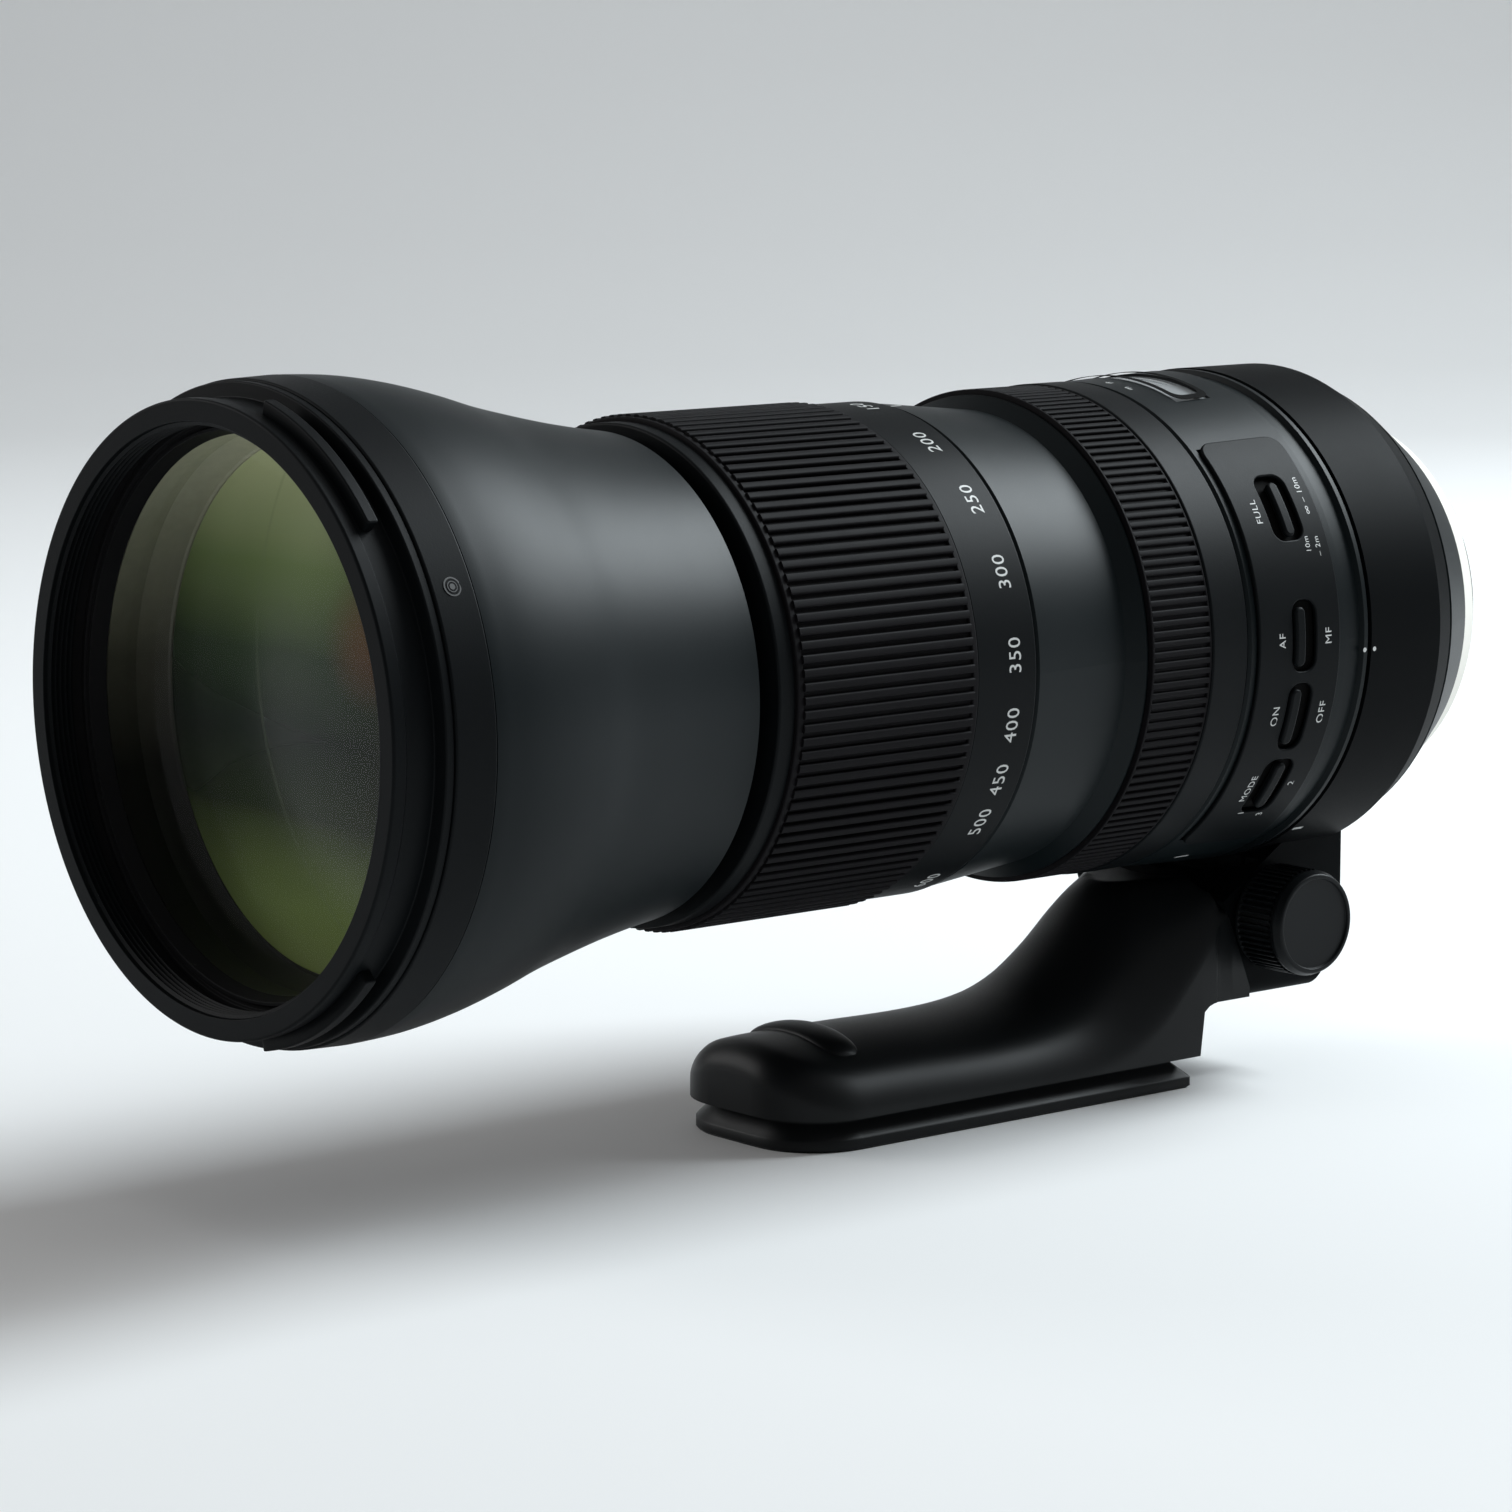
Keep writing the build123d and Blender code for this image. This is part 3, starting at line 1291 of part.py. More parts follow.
# The lock knob and its screw are one piece that turns about a line across the lens
with BuildPart() as lock_knob:
    knob_start = boss_half_width + knob_gap
    knob_end = knob_start + knob_length
    knob_outline = [
        (0, knob_screw_reach),
        (knob_screw_radius, knob_screw_reach),
        (knob_screw_radius, knob_start),
        (knob_radius - edge_chamfer, knob_start),
        (knob_radius, knob_start + edge_chamfer),
        (knob_radius, knob_end - knob_face_length),
        (knob_radius - edge_chamfer, knob_end - knob_face_length + edge_chamfer),
        (knob_radius - edge_chamfer, knob_end - edge_chamfer),
        (knob_radius - 2 * edge_chamfer, knob_end),
        (knob_radius - 3 * edge_chamfer, knob_end),
        (knob_radius - 3 * edge_chamfer, knob_end - knob_face_drop),
        (0, knob_end - knob_face_drop),
    ]
    knob_plane = Plane(origin=(0, -knob_station, -knob_height), x_dir=(0, 0, 1), z_dir=(0, 1, 0))
    with BuildSketch(knob_plane) as profile:
        with BuildLine():
            Polyline(*knob_outline, close=True)
        make_face()
    knob_axis = Axis((0, -knob_station, -knob_height), (1, 0, 0))
    revolve(profile.sketch, axis=knob_axis)
    with BuildSketch(Plane.YZ.offset(knob_start)) as flutes:
        with Locations(knob_centre):
            with PolarLocations(knob_radius, knob_flute_count):
                Circle(knob_flute_radius)
    extrude(flutes.sketch, amount=knob_length - knob_face_length, mode=Mode.SUBTRACT)
save(lock_knob, "lock_knob")

# Tripod foot: an arched arm that runs down from the seam into a flat body on a dovetail rail
y_foot_front = -foot_front_station
y_foot_rear = -foot_rear_station
tip_spread = 2 * foot_corner

with BuildPart() as tip_shape:
    with BuildSketch(Plane.XY.offset(-foot_step)) as plan:
        with Locations((0, y_foot_front + tip_spread)):
            Rectangle(2 * foot_half_width, 2 * tip_spread)
        fillet(plan.vertices().group_by(Axis.Y)[0], radius=foot_corner)
    extrude(plan.sketch, amount=foot_step - foot_tip_height)
    top_edges = tip_shape.edges().group_by(Axis.Z)[-1]
    fillet([edge for edge in top_edges if edge.center().Y < y_foot_front + 2 * tip_spread - seam], radius=foot_edge)

with BuildPart() as tip_cutter:
    with BuildSketch(Plane.XY.offset(-foot_step - overrun)) as block:
        with Locations((0, y_foot_front + tip_spread / 2)):
            Rectangle(2 * foot_half_width + 2 * overrun, tip_spread + 2 * overrun)
    extrude(block.sketch, amount=foot_step - foot_tip_height + foot_edge)
    add(tip_shape.part, mode=Mode.SUBTRACT)


def rail_plan(inset):
    """The outline of the dovetail rail from below, with round front corners, set in all round."""
    with BuildSketch(Plane.XY.offset(-foot_bottom)) as plan:
        rail_length = foot_front_station - foot_rear_station - 2 * rail_inset
        with Locations((0, (y_foot_front + y_foot_rear) / 2)):
            Rectangle(2 * (rail_half_width - inset), rail_length - 2 * inset)
        fillet(plan.vertices().group_by(Axis.Y)[0], radius=foot_corner - rail_inset - inset)
    return plan.sketch


bump_axis = Axis((0, 0, -bump_height - bump_curve), (0, 1, 0))
with BuildPart() as thumb_rest:
    with BuildSketch(Plane.YZ) as ridge:
        with Locations((-bump_station, -bump_height)):
            Ellipse(bump_half_width, bump_half_height)
    revolve(ridge.sketch, axis=bump_axis, revolution_arc=bump_arc)

with BuildPart() as tripod_foot:
    sections = []
    for station, crown, shoulder in foot_sections:
        with BuildSketch(Plane.XZ.offset(station)) as section:
            with BuildLine():
                left = (-foot_half_width, -shoulder)
                right = (foot_half_width, -shoulder)
                Polyline(left, (-foot_half_width, -foot_step), (foot_half_width, -foot_step), right)
                Bezier(right, (0, shoulder - 2 * crown), left)
            make_face()
        sections.append(section.sketch)
    loft(sections=sections)
    add(tip_cutter.part, mode=Mode.SUBTRACT)
    with BuildSketch(Plane.YZ) as behind:
        with BuildLine():
            Polyline((-seam_top_station, -seam_top_height), (-seam_bottom_station, -boss_bottom),
                     (y_taper, -boss_bottom), (y_taper, -boss_top), (-seam_top_station, -boss_top), close=True)
        make_face()
    extrude(behind.sketch, amount=foot_half_width + overrun, both=True, mode=Mode.SUBTRACT)
    with BuildSketch(Plane.YZ) as under:
        with BuildLine():
            Polyline((y_taper, -foot_bottom), (y_foot_rear, -foot_bottom),
                     (y_foot_rear, -boss_bottom - foot_rear_radius))
            ThreePointArc((y_foot_rear, -boss_bottom - foot_rear_radius),
                          (y_foot_rear + foot_rear_radius * (1 - math.sqrt(1 / 2)),
                           -boss_bottom - foot_rear_radius * (1 - math.sqrt(1 / 2))),
                          (y_foot_rear + foot_rear_radius, -boss_bottom))
            Polyline((y_foot_rear + foot_rear_radius, -boss_bottom), (y_taper, -boss_bottom),
                     (y_taper, -foot_bottom))
        make_face()
    extrude(under.sketch, amount=foot_half_width + overrun, both=True, mode=Mode.SUBTRACT)
    turn_box(boss_top / 2, relief_radius, y_focus - free_gap, y_collar_front, mode=Mode.SUBTRACT)
    extrude(rail_plan(0), amount=rail_edge)
    extrude(Plane.XY.offset(rail_edge) * rail_plan(0), amount=rail_slope, taper=45)
    extrude(rail_plan(rail_slope), amount=foot_bottom - foot_step)
    add(thumb_rest.part.rotate(bump_axis, -bump_arc / 2))
    with BuildSketch(Plane.XY.offset(-foot_bottom)) as sockets:
        with Locations((0, -small_socket_station)):
            Circle(small_socket_radius)
        with Locations((0, -large_socket_station)):
            Circle(large_socket_radius)
    extrude(sockets.sketch, amount=socket_depth, mode=Mode.SUBTRACT)
    for place in foot_screw_places:
        with BuildSketch(Plane.XZ.offset(foot_screw_station)) as thread:
            with Locations((place, -foot_screw_height)):
                Circle(foot_screw_radius)
        extrude(thread.sketch, amount=foot_screw_length, mode=Mode.SUBTRACT)
save(tripod_foot, "tripod_foot")

with BuildPart() as foot_screws:
    for place in foot_screw_places:
        with BuildSketch(Plane.XZ.offset(foot_screw_station)) as head:
            with Locations((place, -foot_screw_height)):
                Circle(foot_screw_head_radius)
        extrude(head.sketch, amount=-foot_screw_head_height)
        with BuildSketch(Plane.XZ.offset(foot_screw_station)) as shank:
            with Locations((place, -foot_screw_height)):
                Circle(foot_screw_radius)
        extrude(shank.sketch, amount=foot_screw_length)
        with BuildSketch(Plane.XZ.offset(foot_screw_station - foot_screw_head_height)) as socket:
            with Locations((place, -foot_screw_height)):
                RegularPolygon(foot_screw_hex, 6)
        extrude(socket.sketch, amount=foot_screw_hex_depth, mode=Mode.SUBTRACT)
save(foot_screws, "foot_screws")
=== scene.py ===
import bmesh
import bpy
import math
from mathutils import Matrix, Vector


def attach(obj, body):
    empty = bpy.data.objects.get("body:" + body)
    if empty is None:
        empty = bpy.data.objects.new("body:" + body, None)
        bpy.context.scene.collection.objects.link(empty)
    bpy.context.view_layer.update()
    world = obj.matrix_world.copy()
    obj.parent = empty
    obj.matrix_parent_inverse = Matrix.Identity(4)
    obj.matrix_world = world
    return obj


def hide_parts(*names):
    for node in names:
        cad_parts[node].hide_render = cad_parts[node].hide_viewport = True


bl_info = {
    "name": "Telephoto zoom lens",
    "version": (1, 0, 0),
    "blender": (4, 5, 0),
    "location": "View3D > Sidebar > Lens",
    "description": "Dresses a long zoom lens with its rings, rubber, glass, switches, collar and foot",
    "category": "Object",
}

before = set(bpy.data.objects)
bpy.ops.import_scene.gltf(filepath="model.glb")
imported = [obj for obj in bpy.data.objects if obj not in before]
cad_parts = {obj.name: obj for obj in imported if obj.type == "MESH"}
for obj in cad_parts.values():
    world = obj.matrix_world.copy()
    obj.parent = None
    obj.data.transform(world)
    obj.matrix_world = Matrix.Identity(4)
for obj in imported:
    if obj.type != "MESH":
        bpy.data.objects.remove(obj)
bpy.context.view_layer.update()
MM = 0.001
INK = 0.04
CAPITALS = 0.72


# Node trees and materials

class Wire:
    """A node socket that can be used in a Python expression."""

    def __init__(self, tree, socket):
        self.tree = tree
        self.socket = socket

    def math(self, operation, *values):
        node = self.tree.node("ShaderNodeMath", {"operation": operation}, list(values))
        return Wire(self.tree, node.outputs[0])

    def through(self, operation):
        """This value through a Math node of one input."""
        return self.math(operation, self)

    def __add__(self, other):
        return self.math("ADD", self, other)

    def __sub__(self, other):
        return self.math("SUBTRACT", self, other)

    def __rsub__(self, other):
        return self.math("SUBTRACT", other, self)

    def __mul__(self, other):
        return self.math("MULTIPLY", self, other)

    def __truediv__(self, other):
        return self.math("DIVIDE", self, other)

    def __rtruediv__(self, other):
        return self.math("DIVIDE", other, self)

    def __pow__(self, other):
        return self.math("POWER", self, other)

    def step(self, low, high):
        """0 below low, 1 above high, smooth between them."""
        node = self.tree.node("ShaderNodeMapRange", {"interpolation_type": "SMOOTHSTEP", "clamp": True},
                              {"Value": self, "From Min": low, "From Max": high})
        return Wire(self.tree, node.outputs["Result"])


class Tree:
    """Builds one node tree, for a material or for Geometry Nodes."""

    def __init__(self, nodes):
        self.nodes = nodes
        self.place = 0

    def node(self, kind, settings=None, values=None):
        """A new node: its settings first, then the value or the link of each socket."""
        made = self.nodes.nodes.new(kind)
        made.location = (180 * (self.place % 12), -220 * (self.place // 12))
        self.place += 1
        for name, value in (settings or {}).items():
            if name == "stops":
                ramp = made.color_ramp
                while len(ramp.elements) < len(value):
                    ramp.elements.new(0.5)
                for element, (position, colour) in zip(ramp.elements, value):
                    element.position = position
                    element.color = colour if len(colour) == 4 else (*colour, 1)
            else:
                setattr(made, name, value)
        pairs = enumerate(values) if isinstance(values, list) else (values or {}).items()
        for key, value in pairs:
            socket = made.inputs[key]
            if isinstance(value, Wire):
                self.nodes.links.new(value.socket, socket)
            elif isinstance(value, bpy.types.NodeSocket):
                self.nodes.links.new(value, socket)
            else:
                socket.default_value = value
        return made

    def out(self, kind, settings=None, values=None, output=0):
        """One output of a new node, as a wire."""
        return Wire(self, self.node(kind, settings, values).outputs[output])


def finish_shell(name, base, roughness, metallic=0.0, specular=0.5, coat=0.0, coat_roughness=0.1,
                 transmission=0.0, ior=1.5, alpha=1.0):
    """A material with one Principled shader; gives it, its tree, the shader and the object coordinates."""
    material = bpy.data.materials.new(name)
    material.use_nodes = True
    material.node_tree.nodes.clear()
    tree = Tree(material.node_tree)
    shader = tree.node("ShaderNodeBsdfPrincipled", None, {
        "Base Color": (*base, 1), "Roughness": roughness, "Metallic": metallic,
        "Specular IOR Level": specular, "Coat Weight": coat, "Coat Roughness": coat_roughness,
        "Transmission Weight": transmission, "IOR": ior, "Alpha": alpha})
    tree.node("ShaderNodeOutputMaterial", None, {"Surface": shader.outputs[0]})
    material.diffuse_color = (*base, 1)
    here = tree.out("ShaderNodeTexCoord", output="Object")
    return material, tree, shader, here


def speckle(tree, here, scale, detail=3.0, roughness=0.55):
    """Noise from 0 to 1 in the piece's own coordinates."""
    return tree.out("ShaderNodeTexNoise", None, {"Vector": here, "Scale": scale, "Detail": detail,
                                                  "Roughness": roughness}, output="Fac")


def scaled(colour, share):
    """A colour made darker or lighter."""
    return tuple(share * c for c in colour)


def axes_of(tree, here):
    """The x, y and z of the piece's own coordinates, in metres."""
    parts = tree.node("ShaderNodeSeparateXYZ", None, {"Vector": here})
    return [Wire(tree, parts.outputs[i]) for i in range(3)]


def away_from(x, z, middle_x=0.0, middle_z=0.0):
    """The distance across the lens from a point, in metres."""
    return ((x - middle_x) ** 2 + (z - middle_z) ** 2) ** 0.5


def set_bump(tree, shader, height, strength, distance):
    """A bump from a height, with its distance in metres."""
    bump = tree.node("ShaderNodeBump", None, {"Height": height, "Strength": strength, "Distance": distance})
    tree.nodes.links.new(bump.outputs["Normal"], shader.inputs["Normal"])


def set_gloss(tree, shader, roughness):
    """A roughness that changes over the surface."""
    tree.nodes.links.new(roughness.socket, shader.inputs["Roughness"])


def blended(tree, amount, first, second):
    """A colour between two colours, each a tuple or a socket, by an amount from 0 to 1."""
    pair = [(*c, 1) if isinstance(c, tuple) else c for c in (first, second)]
    mix = tree.node("ShaderNodeMix", {"data_type": "RGBA"}, {0: amount, 6: pair[0], 7: pair[1]})
    return mix.outputs[2]


def tinted(tree, shader, amount, dark, light):
    """A base colour between two colours by an amount from 0 to 1."""
    tree.nodes.links.new(blended(tree, amount, dark, light), shader.inputs["Base Color"])


def satin_paint(name, dark, light, roughness):
    """Fine satin paint on metal: small-scale grain, faint cloudiness and a slight variation in gloss."""
    material, tree, shader, here = finish_shell(name, dark, roughness, specular=0.13)
    cloud = speckle(tree, here, 24, 4)
    fine = speckle(tree, here, 5200, 2)
    tinted(tree, shader, cloud * 0.55 + fine * 0.45, dark, light)
    set_gloss(tree, shader, cloud * 0.10 + fine * 0.08 + (roughness - 0.09))
    set_bump(tree, shader, fine, 0.5, 0.00002)
    return material


def moulded_plastic(name, dark, light, roughness, grain=0.35, shine=0.07):
    """Moulded plastic with a fine spark-eroded texture."""
    material, tree, shader, here = finish_shell(name, dark, roughness, specular=shine)
    fine = speckle(tree, here, 3600, 3, 0.6)
    cloud = speckle(tree, here, 40, 3)
    tinted(tree, shader, cloud * 0.6 + fine * 0.4, dark, light)
    set_gloss(tree, shader, fine * 0.16 + cloud * 0.08 + (roughness - 0.12))
    set_bump(tree, shader, fine, grain, 0.00004)
    return material


def grip_rubber(name, dark, light, roughness):
    """Rubber with a fine grain and a matt skin that is dusty in places."""
    material, tree, shader, here = finish_shell(name, dark, roughness, specular=0.08)
    fine = speckle(tree, here, 2600, 4, 0.65)
    dust = speckle(tree, here, 160, 4)
    tinted(tree, shader, dust.step(0.35, 0.75) * 0.6 + fine * 0.3, dark, light)
    set_gloss(tree, shader, dust * 0.12 + (roughness - 0.06))
    set_bump(tree, shader, fine, 0.4, 0.00005)
    return material


def turned_metal(name, dark, light, roughness, pitch):
    """Metal turned on a lathe: fine rings about the optical axis, with a pitch in metres."""
    material, tree, shader, here = finish_shell(name, dark, roughness, metallic=1.0)
    x, y, z = axes_of(tree, here)
    phase = (away_from(x, z) + y) * (math.tau / pitch)
    rings = phase.through("SINE") * 0.5 + 0.5
    cloud = speckle(tree, here, 90, 4)
    tinted(tree, shader, cloud, dark, light)
    set_gloss(tree, shader, rings * 0.06 + cloud * 0.12 + (roughness - 0.08))
    set_bump(tree, shader, rings, 0.25, 0.00001)
    return material


def lens_glass(name, rim, middle, roughness, transmission, radius):
    """Coated glass whose tint deepens from the middle to the rim."""
    material, tree, shader, here = finish_shell(name, middle, roughness, transmission=transmission, ior=1.52,
                                                coat=0.35, coat_roughness=0.02)
    x, _, z = axes_of(tree, here)
    out = away_from(x, z) / radius
    haze = speckle(tree, here, 14, 2)
    tinted(tree, shader, out.step(0.25, 1.0) * 0.8 + haze * 0.2, middle, rim)
    return material


def plain_ink(name, colour, roughness=0.5):
    """Printed or filled lettering, with a slightly uneven surface."""
    material, tree, shader, here = finish_shell(name, colour, roughness)
    worn = speckle(tree, here, 900, 3)
    tinted(tree, shader, worn, scaled(colour, 0.86), colour)
    return material


def circuit_green(name):
    """Solder mask over copper tracks."""
    mask, track = (0.01, 0.09, 0.04), (0.05, 0.22, 0.09)
    material, tree, shader, here = finish_shell(name, mask, 0.35)
    tracks = tree.out("ShaderNodeTexBrick", {"offset": 0.5}, {"Vector": here, "Scale": 260.0}, output="Fac")
    tinted(tree, shader, tracks, mask, track)
    return material


def inner_glass_painted_reflections(name):
    """The coated face behind the front glass, in the coating's olive hue with painted reflections: olive at
    its top and foot, dark between, painted shade on one side, an amber painted reflection at one side and a
    faint pale painted reflected arc.
    """
    radius = 0.044
    painted_light_bands = [(0.0, (0.24, 0.31, 0.09)), (0.12, (0.19, 0.26, 0.075)), (0.30, (0.028, 0.040, 0.018)),
             (0.45, (0.010, 0.017, 0.011)), (0.60, (0.035, 0.060, 0.028)), (0.76, (0.19, 0.26, 0.10)),
             (0.95, (0.62, 0.68, 0.38))]
    shade, amber, pale = (0.012, 0.013, 0.007), (0.15, 0.055, 0.022), (0.16, 0.20, 0.12)
    material, tree, shader, here = finish_shell(name, (0.02, 0.03, 0.015), 0.25, specular=0.2)
    x, _, z = axes_of(tree, here)
    cloud = speckle(tree, here, 18, 2)
    # Bands of painted reflection by height: bright olive at the top and foot, dark between.
    rise = (z + radius) / (2 * radius) + (cloud - 0.5) * 0.05
    ramp = tree.node("ShaderNodeValToRGB", {"stops": painted_light_bands}, {0: rise})
    # Painted shade over the side towards +x, except at the foot.
    painted_shade_side = x.step(-0.004, 0.032) * z.step(-0.030, -0.012) * 0.82
    glow = blended(tree, painted_shade_side, ramp.outputs[0], shade)
    # An amber painted reflection in one place.
    amber_reflection_patch = (1 - away_from(x, z, 0.017, 0.013).step(0.002, 0.013)) * 0.55
    glow = blended(tree, amber_reflection_patch, glow, amber)
    # A thin pale painted reflected arc across the glass.
    from_arc = (away_from(x, z, 0.050, 0.012) - 0.064).through("ABSOLUTE")
    glow = blended(tree, (1 - from_arc.step(0.0001, 0.0006)) * 0.16, glow, pale)
    tree.nodes.links.new(glow, shader.inputs["Base Color"])
    return material


def cell_wall_painted_light(name):
    """The wall between the front lenses: dark, with painted light in olive grey at the top."""
    radius = 0.046
    painted_light_bands = [(0.0, (0.008, 0.008, 0.008)), (0.35, (0.012, 0.012, 0.010)), (0.55, (0.070, 0.068, 0.050)),
             (0.80, (0.30, 0.30, 0.22)), (1.0, (0.60, 0.60, 0.46))]
    material, tree, shader, here = finish_shell(name, (0.05, 0.05, 0.04), 0.4, specular=0.2)
    z = axes_of(tree, here)[2]
    # Painted light: the colour runs from dark at the bottom to pale olive grey at the top.
    ramp = tree.node("ShaderNodeValToRGB", {"stops": painted_light_bands}, {0: (z + radius) / (2 * radius)})
    grain = speckle(tree, here, 500, 2)
    tinted(tree, shader, grain * 0.25, ramp.outputs[0], (0.01, 0.01, 0.008))
    return material


def front_coating(name):
    """Clear coated glass: mostly see-through, with a faint sheen."""
    radius, middle, rim = 0.048, (0.010, 0.013, 0.009), (0.030, 0.036, 0.022)
    material, tree, shader, here = finish_shell(name, middle, 0.04, specular=0.6, coat=1.0,
                                                coat_roughness=0.02, alpha=0.025)
    x, _, z = axes_of(tree, here)
    tinted(tree, shader, (away_from(x, z) / radius).step(0.3, 1.0), middle, rim)
    return material


def window_glass(name):
    """Clear plastic over the distance scale, which mirrors the light; its pale grey base colour is painted
    reflection.
    """
    # The pale grey base colour is painted reflection of the light above.
    material, tree, shader, here = finish_shell(name, (0.50, 0.52, 0.53), 0.12, specular=0.8, alpha=0.6)
    set_gloss(tree, shader, speckle(tree, here, 300, 2) * 0.05 + 0.05)
    return material


# Mesh work, in mm

def linked(name, data):
    """A new object in the scene."""
    made = bpy.data.objects.new(name, data)
    bpy.context.scene.collection.objects.link(made)
    return made


def settled(holder):
    """The plain mesh that an object's curve, text or modifier makes; the object is removed."""
    bpy.context.view_layer.update()
    mesh = bpy.data.meshes.new_from_object(holder.evaluated_get(bpy.context.evaluated_depsgraph_get()))
    bpy.data.objects.remove(holder)
    return mesh


def as_mesh(name, work):
    """The mesh of a bmesh, which is freed."""
    mesh = bpy.data.meshes.new(name)
    work.to_mesh(mesh)
    work.free()
    return mesh


def turn_place(radius, station, clock):
    """A point in metres from a radius and a station in mm and a clock angle in degrees."""
    angle = math.radians(clock)
    return Vector((radius * math.sin(angle), station, radius * math.cos(angle))) * MM


def new_object(name, mesh, material=None, smooth=True, sharp=None):
    """An object from a mesh: smooth, with the edges past an angle in degrees kept sharp."""
    piece = linked(name, mesh)
    if material:
        mesh.materials.clear()
        mesh.materials.append(material)
    if smooth:
        for face in mesh.polygons:
            face.use_smooth = True
        if sharp:
            mesh.set_sharp_from_angle(angle=math.radians(sharp))
    return piece


def mesh_of(name, work, material=None, smooth=True, sharp=None, turn_out=True):
    """A mesh object from a bmesh, with doubles merged and faces pointing outwards."""
    bmesh.ops.remove_doubles(work, verts=work.verts, dist=1e-7)
    if turn_out:
        bmesh.ops.recalc_face_normals(work, faces=work.faces)
    return new_object(name, as_mesh(name, work), material, smooth, sharp)


def hermite(share, low, high, leaving, arriving):
    """A smooth value between low and high at a share of the way, with its slopes at both ends."""
    return ((2 * share**3 - 3 * share**2 + 1) * low + (share**3 - 2 * share**2 + share) * leaving
            + (-2 * share**3 + 3 * share**2) * high + (share**3 - share**2) * arriving)


def skin(work, rows):
    """Joins each closed row of points to the next."""
    for row, after in zip(rows, rows[1:]):
        for i in range(len(row)):
            k = (i + 1) % len(row)
            work.faces.new((row[i], row[k], after[k], after[i]))


def rim_edges(work, row):
    """The edges of a closed row of points."""
    return [work.edges.get(pair) for pair in zip(row, row[1:] + row[:1])]


def soften(outline, steps=4):
    """Rounds the corners of a closed outline of (radius, station, round) points and holds their ends."""
    longest, holding, straight = 0.45, 0.15, math.pi - 0.03
    made = []
    count = len(outline)
    for i, point in enumerate(outline):
        size = point[2] if len(point) > 2 else 0.0
        here = Vector(point[:2])
        before = Vector(outline[i - 1][:2]) - here
        after = Vector(outline[(i + 1) % count][:2]) - here
        angle = before.angle(after, math.pi)
        if size <= 0 or angle > straight:
            made.append(tuple(here))
            continue
        a, b = before.normalized(), after.normalized()
        reach = min(size / math.tan(angle / 2), longest * before.length, longest * after.length)
        size = reach * math.tan(angle / 2)
        centre = here + (a + b).normalized() * (size / math.sin(angle / 2))
        start, end = here + a * reach, here + b * reach
        made.append(tuple(start + a * reach * holding))
        u, v = start - centre, end - centre
        sweep = u.angle(v)
        for k in range(steps + 1):
            t = k / steps
            mix = (u * math.sin((1 - t) * sweep) + v * math.sin(t * sweep)) / math.sin(sweep)
            made.append(tuple(centre + mix))
        made.append(tuple(end + b * reach * holding))
    return made


def lathe(name, outline, material, steps, sharp=38):
    """A solid turned about the optical axis from a closed outline in mm."""
    work = bmesh.new()
    rows = []
    for j in range(steps):
        rows.append([work.verts.new(turn_place(r, y, 360.0 * j / steps)) for r, y in outline])
    count = len(outline)
    for left, right in zip(rows, rows[1:] + rows[:1]):
        for i in range(count):
            k = (i + 1) % count
            if outline[i][0] == 0 and outline[k][0] == 0:
                continue
            if outline[i][0] == 0:
                work.faces.new((left[i], left[k], right[k]))
            elif outline[k][0] == 0:
                work.faces.new((left[i], left[k], right[i]))
            else:
                work.faces.new((left[i], left[k], right[k], right[i]))
    return mesh_of(name, work, material, True, sharp)


def join_pieces(name, pieces):
    """One mesh object from several, keeping their materials."""
    whole = bmesh.new()
    materials = []
    for piece in pieces:
        offset = len(materials)
        materials += list(piece.data.materials)
        first = len(whole.faces)
        whole.from_mesh(piece.data)
        whole.faces.ensure_lookup_table()
        for face in whole.faces[first:]:
            face.material_index += offset
    unique = list(dict.fromkeys(materials))
    for face in whole.faces:
        face.material_index = unique.index(materials[face.material_index])
    for piece in pieces:
        bpy.data.objects.remove(piece)
    made = new_object(name, as_mesh(name, whole), None, False)
    for material in unique:
        made.data.materials.append(material)
    return made


def wrap(mesh, radius, station, clock, step, slope=0.0):
    """Bends a flat mesh round the lens: x runs against the clock, y to the front and z outwards, in mm."""
    last_strip = 0.3 * step
    work = bmesh.new()
    work.from_mesh(mesh)
    xs = [v.co.x for v in work.verts]
    low, high = min(xs), max(xs)
    place = low + step
    while place < high - last_strip:
        bmesh.ops.bisect_plane(work, geom=work.verts[:] + work.edges[:] + work.faces[:], dist=1e-6,
                               plane_co=(place, 0, 0), plane_no=(1, 0, 0))
        place += step
    for vertex in work.verts:
        x, y, z = vertex.co
        vertex.co = turn_place(radius + z - slope * y, station - y, clock - math.degrees(x / radius))
    work.to_mesh(mesh)
    work.free()


def flat_plate(name, splines, thickness, bevel, material, steps=2):
    """A flat plate with holes, from closed outlines of (x, y) points in mm, with rounded edges."""
    curve = bpy.data.curves.new(name, "CURVE")
    curve.dimensions = "2D"
    curve.fill_mode = "BOTH"
    curve.extrude = thickness / 2 - bevel
    curve.bevel_depth = bevel
    curve.bevel_resolution = steps
    curve.offset = -bevel
    for points in splines:
        spline = curve.splines.new("POLY")
        spline.points.add(len(points) - 1)
        for point, (x, y) in zip(spline.points, points):
            point.co = (x, y, 0, 1)
        spline.use_cyclic_u = True
    mesh = settled(linked(name, curve))
    mesh.transform(Matrix.Translation((0, 0, thickness / 2)))
    mesh.materials.clear()
    mesh.materials.append(material)
    return mesh


def round_box(width, height, corner, steps=6, x=0.0, y=0.0):
    """The outline of a rectangle with round corners."""
    points = []
    for cx, cy, turn in ((1, 1, 0), (-1, 1, 90), (-1, -1, 180), (1, -1, 270)):
        for k in range(steps + 1):
            angle = math.radians(turn + 90 * k / steps)
            points.append((x + cx * (width / 2 - corner) + corner * math.cos(angle),
                           y + cy * (height / 2 - corner) + corner * math.sin(angle)))
    return points


